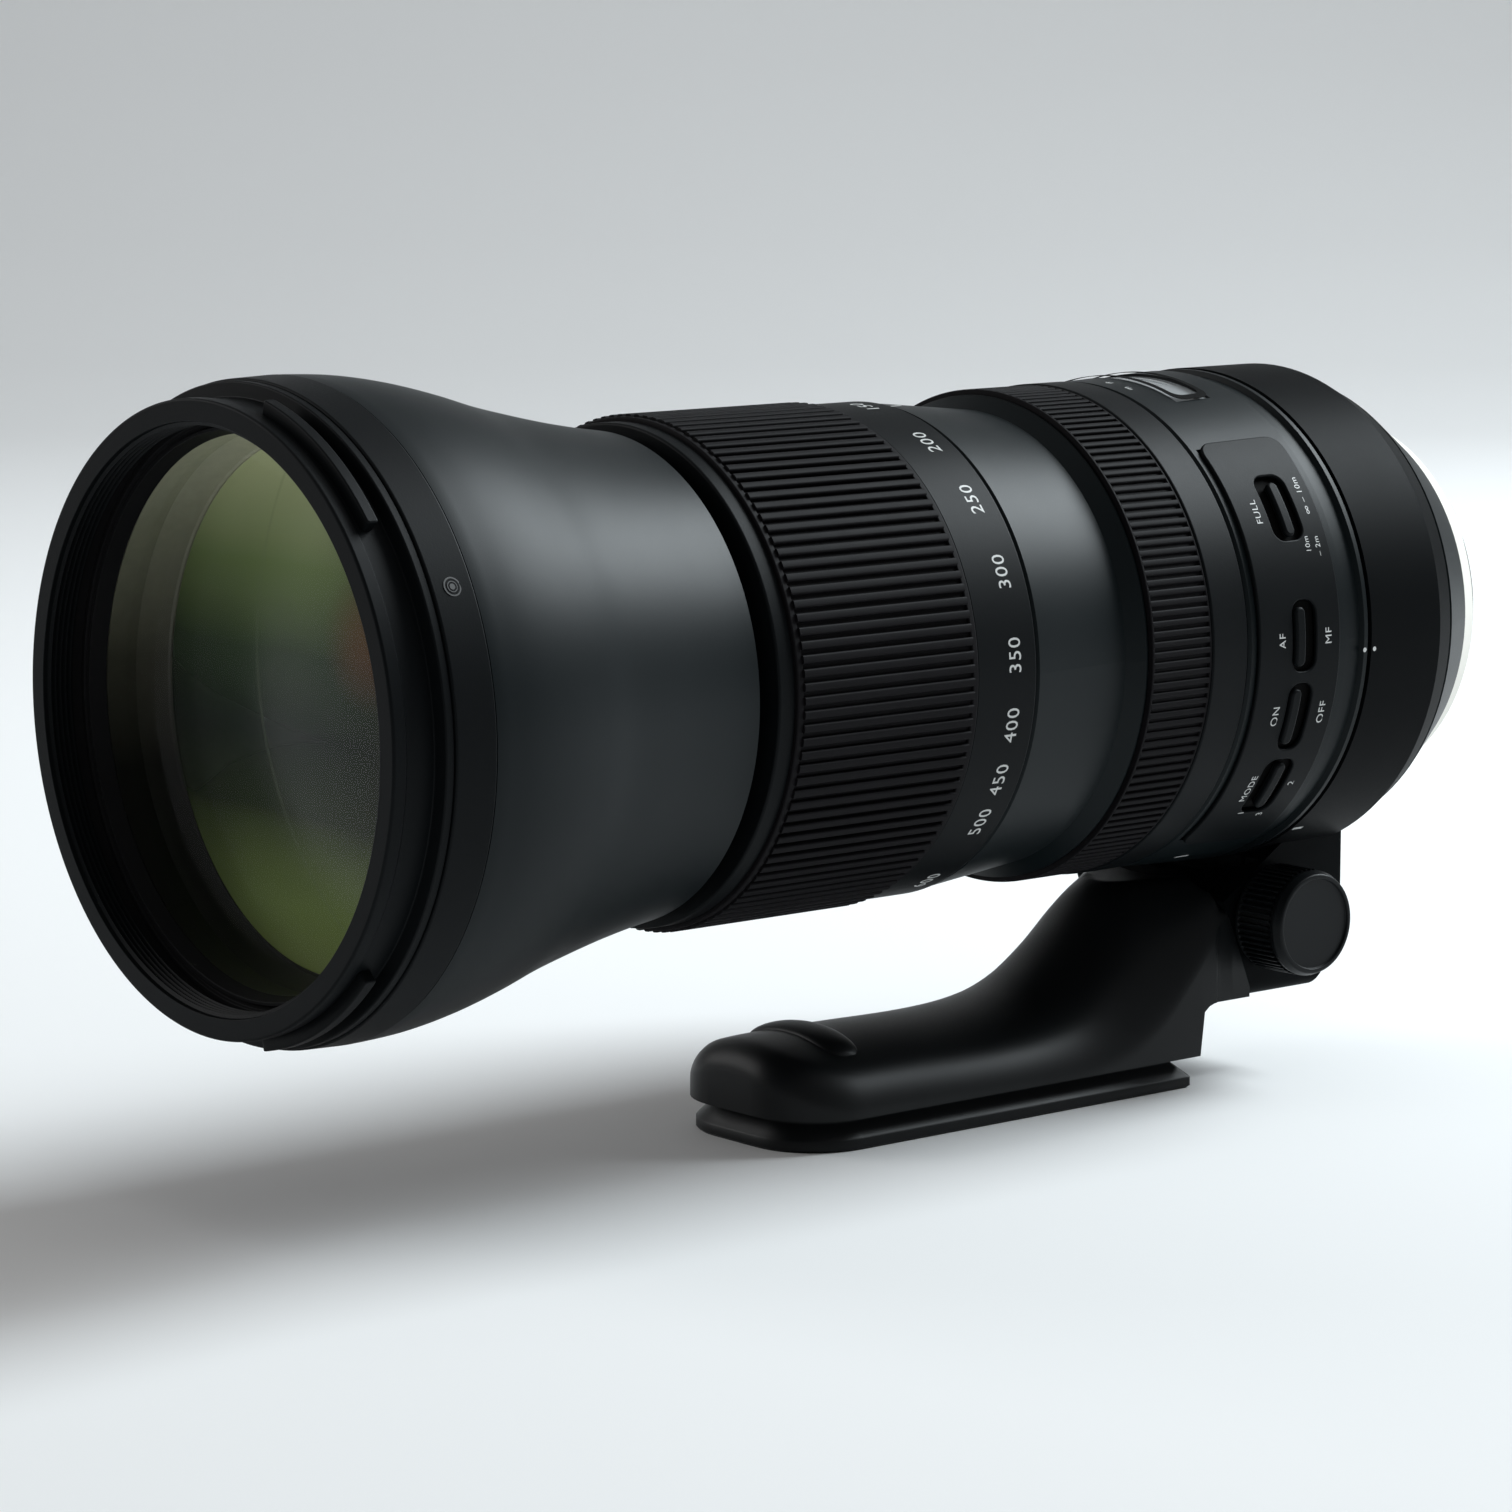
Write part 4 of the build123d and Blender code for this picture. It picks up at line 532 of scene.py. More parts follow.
def lettering(text, height, spacing=1.0):
    """Flat text as a mesh, centred, with its capitals of a height in mm."""
    font = bpy.data.curves.new("text", "FONT")
    font.body = text
    font.size = height / CAPITALS
    font.align_x = "CENTER"
    font.align_y = "CENTER"
    font.space_character = spacing
    font.extrude = INK / 2
    font.resolution_u = 3
    mesh = settled(linked("text", font))
    mesh.materials.clear()
    return mesh


def bar_mark(width, height):
    """A short line, as long along the axis as its height."""
    work = bmesh.new()
    bmesh.ops.create_cube(work, size=1.0, matrix=Matrix.Diagonal((width, height, INK, 1)))
    return as_mesh("bar", work)


def dot_mark(radius, steps=20):
    """A round dot."""
    work = bmesh.new()
    bmesh.ops.create_cone(work, cap_ends=True, segments=steps, radius1=radius, radius2=radius, depth=INK)
    return as_mesh("dot", work)


def ring_mark(radius, line, steps=28):
    """A thin circle with a line of some width inside its radius."""
    work = bmesh.new()
    rows = []
    for k in range(steps):
        angle = math.tau * k / steps
        rows.append([work.verts.new((r * math.cos(angle), r * math.sin(angle), z))
                     for r, z in ((radius - line, -INK / 2), (radius, -INK / 2), (radius, INK / 2),
                                  (radius - line, INK / 2))])
    skin(work, rows + rows[:1])
    bmesh.ops.recalc_face_normals(work, faces=work.faces)
    return as_mesh("ring", work)


def printed(name, marks, material, body):
    """Lettering on the lens, one mesh: each mark is a mesh with its radius, station and clock angle."""
    pieces = []
    for mesh, radius, station, clock in marks:
        wrap(mesh, radius, station, clock, 0.7)
        pieces.append(new_object(name, mesh, material, False))
    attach(join_pieces(name, pieces), body)


# Ribs and ridges with Geometry Nodes

def socket_in(group, name, kind, value=None):
    """A named input of a node group; gives its identifier."""
    made = group.interface.new_socket(name=name, in_out="INPUT", socket_type=kind)
    if value is not None:
        made.default_value = value
    return made.identifier


def ribs_tree():
    """Bars with round edges set round a circle and lying along the axis; sizes in metres."""
    group = bpy.data.node_groups.new("Ribs round a ring", "GeometryNodeTree")
    names = {}
    names["Count"] = socket_in(group, "Count", "NodeSocketInt", 120)
    for name in ("Radius", "Length", "Width", "Height", "Edge", "Station"):
        names[name] = socket_in(group, name, "NodeSocketFloat", 0.0)
    names["Material"] = socket_in(group, "Material", "NodeSocketMaterial")
    group.interface.new_socket(name="Geometry", in_out="OUTPUT", socket_type="NodeSocketGeometry")
    tree = Tree(group)
    given = tree.node("NodeGroupInput")
    value = {name: Wire(tree, given.outputs[name]) for name in names}
    low = tree.out("ShaderNodeCombineXYZ", None, {"Y": value["Length"] * -0.5})
    high = tree.out("ShaderNodeCombineXYZ", None, {"Y": value["Length"] * 0.5})
    path = tree.out("GeometryNodeCurvePrimitiveLine", None, {"Start": low, "End": high})
    section = tree.out("GeometryNodeCurvePrimitiveQuadrilateral", None,
                       {"Width": value["Width"], "Height": value["Height"]})
    rounded = tree.out("GeometryNodeFilletCurve", None, {"Curve": section, "Radius": value["Edge"]})
    fillet = rounded.socket.node
    if "Mode" in fillet.inputs:
        fillet.inputs["Mode"].default_value = "Poly"
    else:
        fillet.mode = "POLY"
    fillet.inputs["Count"].default_value = 3
    bar = tree.out("GeometryNodeCurveToMesh", None,
                   {"Curve": path, "Profile Curve": rounded, "Fill Caps": True})
    index = tree.out("GeometryNodeInputIndex")
    angle = index * (math.tau / value["Count"])
    x = value["Radius"] * angle.through("SINE")
    z = value["Radius"] * angle.through("COSINE")
    spot = tree.out("ShaderNodeCombineXYZ", None, {"X": x, "Y": value["Station"], "Z": z})
    points = tree.out("GeometryNodePoints", None, {"Count": value["Count"], "Position": spot})
    turned = tree.out("ShaderNodeCombineXYZ", None, {"Y": angle})
    spread = tree.out("GeometryNodeInstanceOnPoints", None,
                      {"Points": points, "Instance": bar, "Rotation": turned})
    real = tree.out("GeometryNodeRealizeInstances", None, {"Geometry": spread})
    done = tree.out("GeometryNodeSetMaterial", None, {"Geometry": real, "Material": value["Material"]})
    tree.node("NodeGroupOutput", None, {"Geometry": done})
    return group, names


def rib_set(name, count, sizes, material):
    """Ribs round a ring as a plain mesh object; sizes in mm."""
    group, names = ribs_tree()
    holder = linked(name, bpy.data.meshes.new(name))
    modifier = holder.modifiers.new("Ribs", "NODES")
    modifier.node_group = group
    modifier[names["Count"]] = count
    for key, size in sizes.items():
        modifier[names[key]] = size * MM
    modifier[names["Material"]] = material
    mesh = settled(holder)
    work = bmesh.new()
    work.from_mesh(mesh)
    bmesh.ops.recalc_face_normals(work, faces=work.faces)
    work.to_mesh(mesh)
    work.free()
    return new_object(name, mesh, None, True, 40)


def dressed(node, material):
    """Gives a CAD node a finish."""
    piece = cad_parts[node]
    piece.data.materials.clear()
    piece.data.materials.append(material)


# Stations along the optical axis, in mm from the camera flange

Y_RIM, Y_BAND, Y_FLARE = -260.2, -250.3, -242.6
Y_GRIP, Y_RUBBER, Y_SCALE, Y_GRIP_REAR = -177.0, -173.6, -133.8, -120.5
Y_FOCUS_FRONT, Y_FOCUS_RUBBER, Y_FOCUS_BAND, Y_FOCUS_REAR = -93.9, -79.5, -70.9, -56.4

# The switch section's skin is a cone: its radius in mm at a station, and how much it grows to the rear

PANEL_SKIN, PANEL_STATION, PANEL_CLOCK, SKIN_SLOPE = 45.55, -58.9, 92.5, 0.0388
SWITCH_MIDDLE, SWITCH_REST = -57.8, -59.1


# Sizes and colours that a user would change

class LensRings(bpy.types.PropertyGroup):
    zoom_ribs: bpy.props.IntProperty(name="Zoom ribs", description="Ribs round the zoom rubber",
                                     default=120, min=12)
    focus_ribs: bpy.props.IntProperty(name="Focus ribs", description="Ribs round the focus rubber",
                                      default=154, min=12)
    rib_edge: bpy.props.FloatProperty(name="Rib edge", description="Rounding of the ribs, in millimetres",
                                      default=0.32, min=0.05, max=0.6)
    turn_steps: bpy.props.IntProperty(name="Turning steps", description="Faces round each turned ring",
                                      default=220, min=48, max=512)
    knob_ridges: bpy.props.IntProperty(name="Knob ridges", description="Ridges round the lock knob",
                                       default=52, min=12)


class LensFinish(bpy.types.PropertyGroup):
    paint: bpy.props.FloatVectorProperty(name="Satin paint", description="Colour of the satin metal barrels",
                                         subtype="COLOR", default=(0.0036, 0.0060, 0.0070), min=0, max=1)
    paint_gloss: bpy.props.FloatProperty(name="Paint roughness", description="Roughness of the satin paint",
                                         subtype="FACTOR", default=0.42, min=0, max=1)
    plastic: bpy.props.FloatVectorProperty(name="Plastic", description="Colour of the black moulded rings",
                                           subtype="COLOR", default=(0.0030, 0.0038, 0.0044), min=0, max=1)
    rubber: bpy.props.FloatVectorProperty(name="Rubber", description="Colour of the ribbed rubber",
                                          subtype="COLOR", default=(0.0048, 0.0044, 0.0052), min=0, max=1)
    print_white: bpy.props.FloatVectorProperty(name="Print", description="Colour of the printed scales",
                                               subtype="COLOR", default=(0.62, 0.63, 0.62), min=0, max=1)
    ivory: bpy.props.FloatVectorProperty(name="Skirt", description="Pale ring at the camera end",
                                         subtype="COLOR", default=(0.86, 0.84, 0.78), min=0, max=1)


class LensStage(bpy.types.PropertyGroup):
    key_power: bpy.props.FloatProperty(name="Side light", description="Power of the light beside the lens",
                                       subtype="POWER", default=36.0, min=0)
    fill_power: bpy.props.FloatProperty(name="Fill light", description="Power of the light at the front",
                                        subtype="POWER", default=5.5, min=0)
    top_power: bpy.props.FloatProperty(name="Top light", description="Power of the light above",
                                       subtype="POWER", default=3.6, min=0)
    focal: bpy.props.FloatProperty(name="Camera focal length", default=122.61, min=10,
                                   description="Focal length of the view, in millimetres")


finishes = {}


def finish(name):
    """The material of a name, made on first use from the chosen colours."""
    if name in finishes:
        return finishes[name]
    wanted = bpy.context.scene.lens_finish
    paint = tuple(wanted.paint)
    plastic = tuple(wanted.plastic)
    rubber = tuple(wanted.rubber)
    ivory = tuple(wanted.ivory)
    white = tuple(wanted.print_white)
    makers = {
        "paint": (satin_paint, "Satin paint", paint, scaled(paint, 1.35), wanted.paint_gloss),
        "foot": (moulded_plastic, "Foot paint", scaled(plastic, 0.9), scaled(plastic, 1.4), 0.42, 0.25, 0.22),
        "collar": (moulded_plastic, "Collar paint", scaled(plastic, 0.6), plastic, 0.5, 0.25, 0.035),
        "knob": (moulded_plastic, "Knob plastic", plastic, scaled(plastic, 1.6), 0.4, 0.25, 0.14),
        "plastic": (moulded_plastic, "Moulded plastic", plastic, scaled(plastic, 1.5), 0.46),
        "dull": (moulded_plastic, "Dull inner black", (0.004, 0.004, 0.0045), (0.008, 0.008, 0.0085), 0.7),
        "baffle": (moulded_plastic, "Baffle black", (0.006, 0.006, 0.0065), (0.014, 0.014, 0.015), 0.5),
        "slot": (moulded_plastic, "Switch slot black", (0.0015, 0.0015, 0.0016), (0.003, 0.003, 0.003), 0.8),
        "ivory": (moulded_plastic, "Pale skirt", scaled(ivory, 0.93), ivory, 0.42, 0.1),
        "rubber": (grip_rubber, "Ribbed rubber", rubber, scaled(rubber, 1.6), 0.62),
        "anodised": (turned_metal, "Black anodised metal", (0.02, 0.02, 0.022), (0.035, 0.035, 0.038), 0.4,
                     0.0003),
        "steel": (turned_metal, "Turned steel", (0.42, 0.42, 0.43), (0.56, 0.56, 0.57), 0.3, 0.0004),
        "chrome": (turned_metal, "Plated mount", (0.62, 0.62, 0.61), (0.74, 0.74, 0.73), 0.18, 0.00025),
        "brass": (turned_metal, "Brass", (0.50, 0.34, 0.12), (0.62, 0.45, 0.19), 0.3, 0.0002),
        "white": (plain_ink, "White print", white),
        "engraved": (plain_ink, "Engraved mark", scaled(white, 0.035)),
        "board": (circuit_green, "Circuit board"),
        "front_glass": (front_coating, "Front glass"),
        "inner_glass": (inner_glass_painted_reflections, "Coated inner glass"),
        "cell_wall": (cell_wall_painted_light, "Olive cell wall"),
        "clear_glass": (lens_glass, "Clear glass", (0.75, 0.82, 0.78), (0.88, 0.93, 0.90), 0.03, 0.9, 0.03),
        "window": (window_glass, "Scale window"),
    }
    maker, *values = makers[name]
    finishes[name] = maker(*values)
    return finishes[name]


# Pieces

FLARE_NECK, FLARE_MOUTH, FLARE_LENGTH = 41.8, 54.2, 62.4
FLARE_RUNS = [0.0, 0.134, 0.262, 0.39, 0.517, 0.645, 0.773, 0.9, 1.0]
FLARE_RISES = [1.0, 0.96, 0.855, 0.694, 0.5, 0.339, 0.194, 0.075, 0.0]


def flare_radius(share):
    """Radius of the flared barrel at a share of its length from the front, by a smooth curve."""
    at_mouth, at_neck = -0.26, -0.68
    runs, rises = FLARE_RUNS, FLARE_RISES
    last = len(runs) - 1
    slopes = [(rises[i + 1] - rises[i - 1]) / (runs[i + 1] - runs[i - 1]) for i in range(1, last)]
    slopes = [at_mouth, *slopes, at_neck]
    i = next(i for i in range(last) if share <= runs[i + 1] or i == last - 1)
    run = runs[i + 1] - runs[i]
    rise = hermite((share - runs[i]) / run, rises[i], rises[i + 1], run * slopes[i], run * slopes[i + 1])
    return FLARE_NECK + (FLARE_MOUTH - FLARE_NECK) * rise


def dome(radius, curve, vertex, steps):
    """Half of a lens's spherical face, from its middle to its rim, bulging to the front."""
    points = []
    for k in range(steps + 1):
        r = radius * k / steps
        points.append((r, vertex + curve - math.sqrt(curve**2 - r**2)))
    return points


class LENS_OT_front(bpy.types.Operator):
    """Make the front ring with its thread and hood lugs, the band and the flared barrel"""
    bl_idname = "lens.front"
    bl_label = "Front rings and flare"

    def execute(self, context):
        steps = context.scene.lens_rings.turn_steps
        bore, face, neck, ring = 47.66, 51.3, 51.0, 53.6
        root, crest, pitch = 47.55, 46.98, 0.95
        seat, thread_end, ring_rear = 50.35, -254.6, Y_BAND - 0.05
        step_front, step_rear = -257.5, -252.3
        thread = []
        place = Y_RIM + 0.75
        while place < thread_end - 0.3:
            thread += [(root, place), (crest, place + 0.35), (crest, place + 0.5), (root, place + 0.85)]
            place += pitch
        outline = soften([(bore, Y_RIM, 0.15), (face, Y_RIM, 0.45), (face, step_front - 0.3, 0.2),
                          (neck, step_front, 0.2), (neck, step_rear, 0.25), (ring, step_rear + 0.3, 0.3),
                          (ring, ring_rear, 0.35), (seat, ring_rear), (seat, thread_end), (root, thread_end)])
        turned = lathe("filter_ring_turned", outline + list(reversed(thread)), finish("plastic"), steps)
        lug_radius, lug_station, first_clock, lug_count = 50.65, -255.6, 31.5, 3
        lugs = []
        for turn in range(lug_count):
            mesh = flat_plate("lug", [round_box(31.4, 2.2, 0.5)], 2.6, 0.3, finish("plastic"))
            wrap(mesh, lug_radius, lug_station, first_clock + 360 / lug_count * turn, 1.4)
            lugs.append(new_object("lug", mesh, None, True, 35))
        whole = join_pieces("front_filter_ring", [turned] + lugs)
        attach(whole, "front_barrel")
        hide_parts("filter_ring")

        edge, relief, lip, band_bore, band_step = 53.95, 51.95, Y_FLARE - 0.1, 50.4, -245.2
        outline = soften([(band_bore, Y_BAND), (edge, Y_BAND, 0.35), (FLARE_MOUTH, lip, 0.3), (relief, lip),
                          (relief, band_step), (band_bore, band_step)])
        band = lathe("front_hood_band", outline, finish("plastic"), steps)
        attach(band, "front_barrel")
        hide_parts("hood_band")

        wall, rings, skipped, mouth = 1.8, 48, 3, Y_FLARE + 0.02
        outer = [(flare_radius(k / rings), Y_FLARE + FLARE_LENGTH * k / rings) for k in range(rings + 1)]
        inner = [(r - wall, y) for r, y in reversed(outer[skipped:])]
        outer[0] = (FLARE_MOUTH - 0.15, mouth)
        outline = outer + inner + [(band_bore, Y_FLARE + 2.0), (band_bore, mouth)]
        flare = lathe("front_flare", outline, finish("paint"), steps)
        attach(flare, "front_barrel")
        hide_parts("flared_barrel")
        return {"FINISHED"}


class LENS_OT_glass(bpy.types.Operator):
    """Make the front glass, its retaining ring and the coated lens and walls behind it, with painted
    reflections on the lens and painted olive light on the walls
    """
    bl_idname = "lens.glass"
    bl_label = "Front glass"

    def execute(self, context):
        steps = context.scene.lens_rings.turn_steps
        radius, edge, curve, rear_curve, edge_depth = 48.0, -248.7, 210.0, 600.0, 3.5
        vertex = edge - (curve - math.sqrt(curve**2 - radius**2))
        rear_vertex = edge + edge_depth - (rear_curve - math.sqrt(rear_curve**2 - radius**2))
        face = dome(radius, curve, vertex, 24)
        back = dome(radius - 0.05, rear_curve, rear_vertex, 24)
        glass = lathe("front_element", face + list(reversed(back)), finish("front_glass"), steps, sharp=30)
        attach(glass, "front_barrel")
        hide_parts("front_lens")

        opening, ring_outer = 45.2, 48.55
        seat = vertex + curve - math.sqrt(curve**2 - opening**2) - 0.08
        front, groove = seat - 2.9, seat - 2.3
        outline = soften([(opening, seat), (45.9, front, 0.12), (46.5, front, 0.1), (46.7, groove, 0.1),
                          (47.4, groove, 0.1), (47.6, front, 0.1), (ring_outer, front, 0.1),
                          (ring_outer, seat)])
        ring = lathe("front_retaining_ring", outline, finish("baffle"), steps)
        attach(ring, "front_barrel")
        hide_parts("front_retainer")
        dressed("front_cell", finish("baffle"))

        clear, inner_curve, rim, rear = 44.0, 260.0, -237.2, -229.7
        tip = rim - (inner_curve - math.sqrt(inner_curve**2 - clear**2))
        lens = lathe("coated_lens", dome(clear, inner_curve, tip, 20) + [(clear, rear), (0.0, rear)],
                     finish("inner_glass"), steps, sharp=30)
        wall, bore, wall_front, wall_rear = 45.7, clear + 0.02, -243.3, rear + 0.05
        outline = soften([(wall, wall_front), (wall, wall_rear), (bore, wall_rear), (bore, rim - 0.35),
                          (44.3, rim - 0.7, 0.2)])
        wall_ring = lathe("coated_lens_wall", outline, finish("cell_wall"), steps)
        olive_front, olive_rear = -249.2, wall_front - 0.05
        outline = [(45.3, olive_front), (45.9, olive_front), (45.9, olive_rear), (45.65, olive_rear)]
        edge_ring = lathe("front_lens_edge", outline, finish("cell_wall"), steps)
        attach(edge_ring, "front_barrel")
        doublet = join_pieces("front_doublet", [lens, wall_ring])
        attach(doublet, "front_barrel")
        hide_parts("cemented_doublet")
        return {"FINISHED"}


class LENS_OT_zoom(bpy.types.Operator):
    """Make the zoom sleeve with its scale band and the ribbed rubber"""
    bl_idname = "lens.zoom"
    bl_label = "Zoom ring"

    def execute(self, context):
        rings = context.scene.lens_rings
        steps = rings.turn_steps
        mouth, lip, seat, scale, bore = 37.3, 42.9, 42.6, 43.5, 39.84
        outline = soften([(mouth, Y_GRIP, 0.1), (lip, Y_GRIP, 0.45), (lip, Y_RUBBER, 0.15), (seat, Y_RUBBER),
                          (seat, Y_SCALE), (scale, Y_SCALE, 0.15), (scale, Y_GRIP_REAR, 0.35),
                          (bore, Y_GRIP_REAR, 0.1), (bore, Y_GRIP + 1.0), (mouth, Y_GRIP + 1.0)])
        sleeve = lathe("zoom_sleeve", outline, finish("plastic"), steps)
        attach(sleeve, "zoom_grip")
        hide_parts("zoom_grip_sleeve")

        under, hem, web, gap = seat + 0.02, 43.65, 43.15, 0.02
        front, rear = Y_RUBBER + gap, Y_SCALE - gap
        outline = soften([(under, front), (hem, front, 0.3), (hem, Y_RUBBER + 1.3, 0.3),
                          (web, Y_RUBBER + 1.35, 0.1), (web, Y_SCALE - 1.35, 0.1), (hem, Y_SCALE - 1.3, 0.3),
                          (hem, rear, 0.3), (under, rear)])
        base = lathe("rubber_base", outline, finish("rubber"), steps)
        ribs = rib_set("rubber_ribs", rings.zoom_ribs,
                       {"Radius": 43.5, "Length": 37.3, "Width": 1.42, "Height": 1.2, "Edge": rings.rib_edge,
                        "Station": (Y_RUBBER + Y_SCALE) / 2}, finish("rubber"))
        rubber = join_pieces("zoom_rubber_ribbed", [base, ribs])
        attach(rubber, "zoom_grip")
        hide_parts("zoom_rubber")
        return {"FINISHED"}


class LENS_OT_middle(bpy.types.Operator):
    """Make the satin main barrel and the focus ring with its ribbed rubber"""
    bl_idname = "lens.middle"
    bl_label = "Main barrel and focus ring"

    def execute(self, context):
        rings = context.scene.lens_rings
        steps = rings.turn_steps
        dressed("main_barrel", finish("paint"))
        dressed("zoom_lock_switch", finish("plastic"))
        bore, seat, band, tail = 40.98, 43.2, 44.5, 41.78
        outline = soften([(bore, Y_FOCUS_FRONT), (seat, Y_FOCUS_FRONT), (seat, Y_FOCUS_RUBBER),
                          (band, Y_FOCUS_RUBBER, 0.4), (band, Y_FOCUS_BAND, 0.4), (tail, Y_FOCUS_BAND),
                          (tail, Y_FOCUS_REAR), (bore, Y_FOCUS_REAR)])
        ring = lathe("focus_ring_turned", outline, finish("plastic"), steps)
        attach(ring, "focus_ring")
        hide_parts("focus_ring")

        under, hem, web, gap = seat + 0.02, 44.25, 43.65, 0.02
        front, rear = Y_FOCUS_FRONT + gap, Y_FOCUS_RUBBER - gap
        outline = soften([(under, front), (hem, front, 0.2), (hem, Y_FOCUS_FRONT + 0.5, 0.15),
                          (web, Y_FOCUS_FRONT + 0.6, 0.1), (web, Y_FOCUS_RUBBER - 0.6, 0.1),
                          (hem, Y_FOCUS_RUBBER - 0.5, 0.15), (hem, rear, 0.2), (under, rear)])
        base = lathe("focus_base", outline, finish("rubber"), steps)
        ribs = rib_set("focus_ribs", rings.focus_ribs,
                       {"Radius": 43.82, "Length": 13.5, "Width": 1.08, "Height": 0.9,
                        "Edge": rings.rib_edge * 0.85, "Station": (Y_FOCUS_FRONT + Y_FOCUS_RUBBER) / 2},
                       finish("rubber"))
        rubber = join_pieces("focus_rubber_ribbed", [base, ribs])
        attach(rubber, "focus_ring")
        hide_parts("focus_rubber")
        return {"FINISHED"}


class LENS_OT_switches(bpy.types.Operator):
    """Make the switch panel, its slide switches and the frame of the window over the distance scale"""
    bl_idname = "lens.switches"
    bl_label = "Switch section"

    def execute(self, context):
        dressed("switch_barrel", finish("paint"))
        dressed("distance_window", finish("window"))
        dressed("distance_scale", finish("dull"))
        three_places, two_places, slot_length, slot_spare, plate = 4.0, 2.6, 12.6, 3.0, 0.85
        panel_degrees, panel_length, well_floor, slide_floor, knob_floor = 105, 19.5, 44.3, 44.65, 44.85
        kinds = [("limiter_switch", 58.8, three_places, SWITCH_MIDDLE),
                 ("focus_mode_switch", 88.0, two_places, SWITCH_REST),
                 ("stabiliser_switch", 106.5, two_places, SWITCH_REST),
                 ("stabiliser_mode_switch", 125.0, three_places, SWITCH_MIDDLE)]
        per_degree = math.radians(1) * PANEL_SKIN
        outlines = [round_box(panel_degrees * per_degree, panel_length, 3.0)]
        wells = []
        for name, clock, travel, place in kinds:
            width = travel + slot_spare
            across = (PANEL_CLOCK - clock) * per_degree
            outlines.append(round_box(slot_length, width, 2.3, 8, across, PANEL_STATION - SWITCH_MIDDLE))
            well = flat_plate("well", [round_box(slot_length + 0.6, width + 0.5, 2.4, 8)], 0.12, 0.02,
                              finish("slot"))
            wrap(well, well_floor, SWITCH_MIDDLE, clock, 1.2, SKIN_SLOPE)
            wells.append(new_object("well", well, None, True, 40))
        cover = flat_plate("panel", outlines, plate, 0.3, finish("plastic"), 3)
        wrap(cover, PANEL_SKIN - plate, PANEL_STATION, PANEL_CLOCK, 1.2, SKIN_SLOPE)
        panel = join_pieces("switch_panel_plate", [new_object("panel", cover, None, True, 40)] + wells)
        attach(panel, "lens_body")
        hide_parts("switch_panel")

        for name, clock, travel, place in kinds:
            lift = SKIN_SLOPE * (place - SWITCH_MIDDLE)
            knob = flat_plate("knob", [round_box(10.4, 2.3, 1.12, 8)], 1.3, 0.45, finish("plastic"), 3)
            wrap(knob, knob_floor + lift, place, clock, 1.2, SKIN_SLOPE)
            top = new_object("knob", knob, None, True, 50)
            slide = flat_plate("slide", [round_box(9.6, 2.0, 0.5)], 0.3, 0.05, finish("slot"))
            wrap(slide, slide_floor + lift, place, clock, 1.2, SKIN_SLOPE)
            switch = join_pieces(name + "_pill", [top, new_object("slide", slide, None, False)])
            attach(switch, name)
            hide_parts(name)

        border = flat_plate("border", [round_box(34.8, 8.5, 2.4, 8), round_box(31.6, 6.2, 1.9, 8)], 0.1, 0.02,
                            finish("slot"))
        wrap(border, 45.2, -57.8, 0.0, 1.5, SKIN_SLOPE)
        frame_line = new_object("window_border", border, None, True, 40)
        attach(frame_line, "lens_body")
        return {"FINISHED"}


# The foot in mm: a station towards the front, the drop of its crown and the drop of its shoulders

FOOT = [(40.0, 44.0, 45.5), (52.0, 44.0, 52.0), (60.0, 45.4, 60.8), (66.0, 48.4, 66.8), (73.0, 54.8, 71.0),
        (81.0, 61.0, 73.3), (90.0, 64.8, 73.8), (104.0, 66.4, 73.7), (128.0, 66.2, 73.1), (144.0, 66.3, 73.0),
        (152.2, 67.0, 73.4)]
FOOT_HALF, TOE_RADIUS, TOE_TIP, FOOT_UNDER = 20.0, 14.0, 152.2, 78.4
FOOT_REAR, LEG_REAR, LEG_STEP, LEG_UNDER, LEG_FILLET = 44.2, 53.0, 57.0, 69.0, 4.0
BARREL_RELIEF = 47.7


def eased(points, at, column):
    """A smooth curve through a column of values at rising stations."""
    last = len(points) - 1
    i = min(max([k for k in range(last) if points[k][0] <= at] or [0]), last - 1)
    before, low, high, after = (points[min(max(k, 0), last)] for k in (i - 1, i, i + 1, i + 2))
    run = high[0] - low[0]
    leaving = (high[column] - before[column]) / (high[0] - before[0]) * run
    arriving = (after[column] - low[column]) / (after[0] - low[0]) * run
    return hermite((at - low[0]) / run, low[column], high[column], leaving, arriving)


def foot_stations():
    """The foot's sections from its round toe to its rear, closer together where it turns."""
    toe_start = TOE_TIP - TOE_RADIUS
    stations = [toe_start + TOE_RADIUS * math.sin(math.radians(a)) for a in range(90, -1, -7)]
    stations += [toe_start - 1.6 * k for k in range(50)]
    stations += [58.5, 57.2, LEG_STEP, 56.0, 54.8, 53.6, LEG_REAR, 52.6]
    stations += [51.5, 50.0, 48.5, 47.0, 45.5, FOOT_REAR]
    return sorted(set(round(s, 3) for s in stations if s >= FOOT_REAR), reverse=True)


def foot_underside(station):
    """How low the foot reaches at a station: the leg's rear stands higher, with a rounded step."""
    if station >= LEG_STEP:
        return FOOT_UNDER
    if station <= LEG_REAR:
        return LEG_UNDER
    return LEG_UNDER + LEG_FILLET - math.sqrt(max(LEG_FILLET**2 - (station - LEG_REAR) ** 2, 0.0))


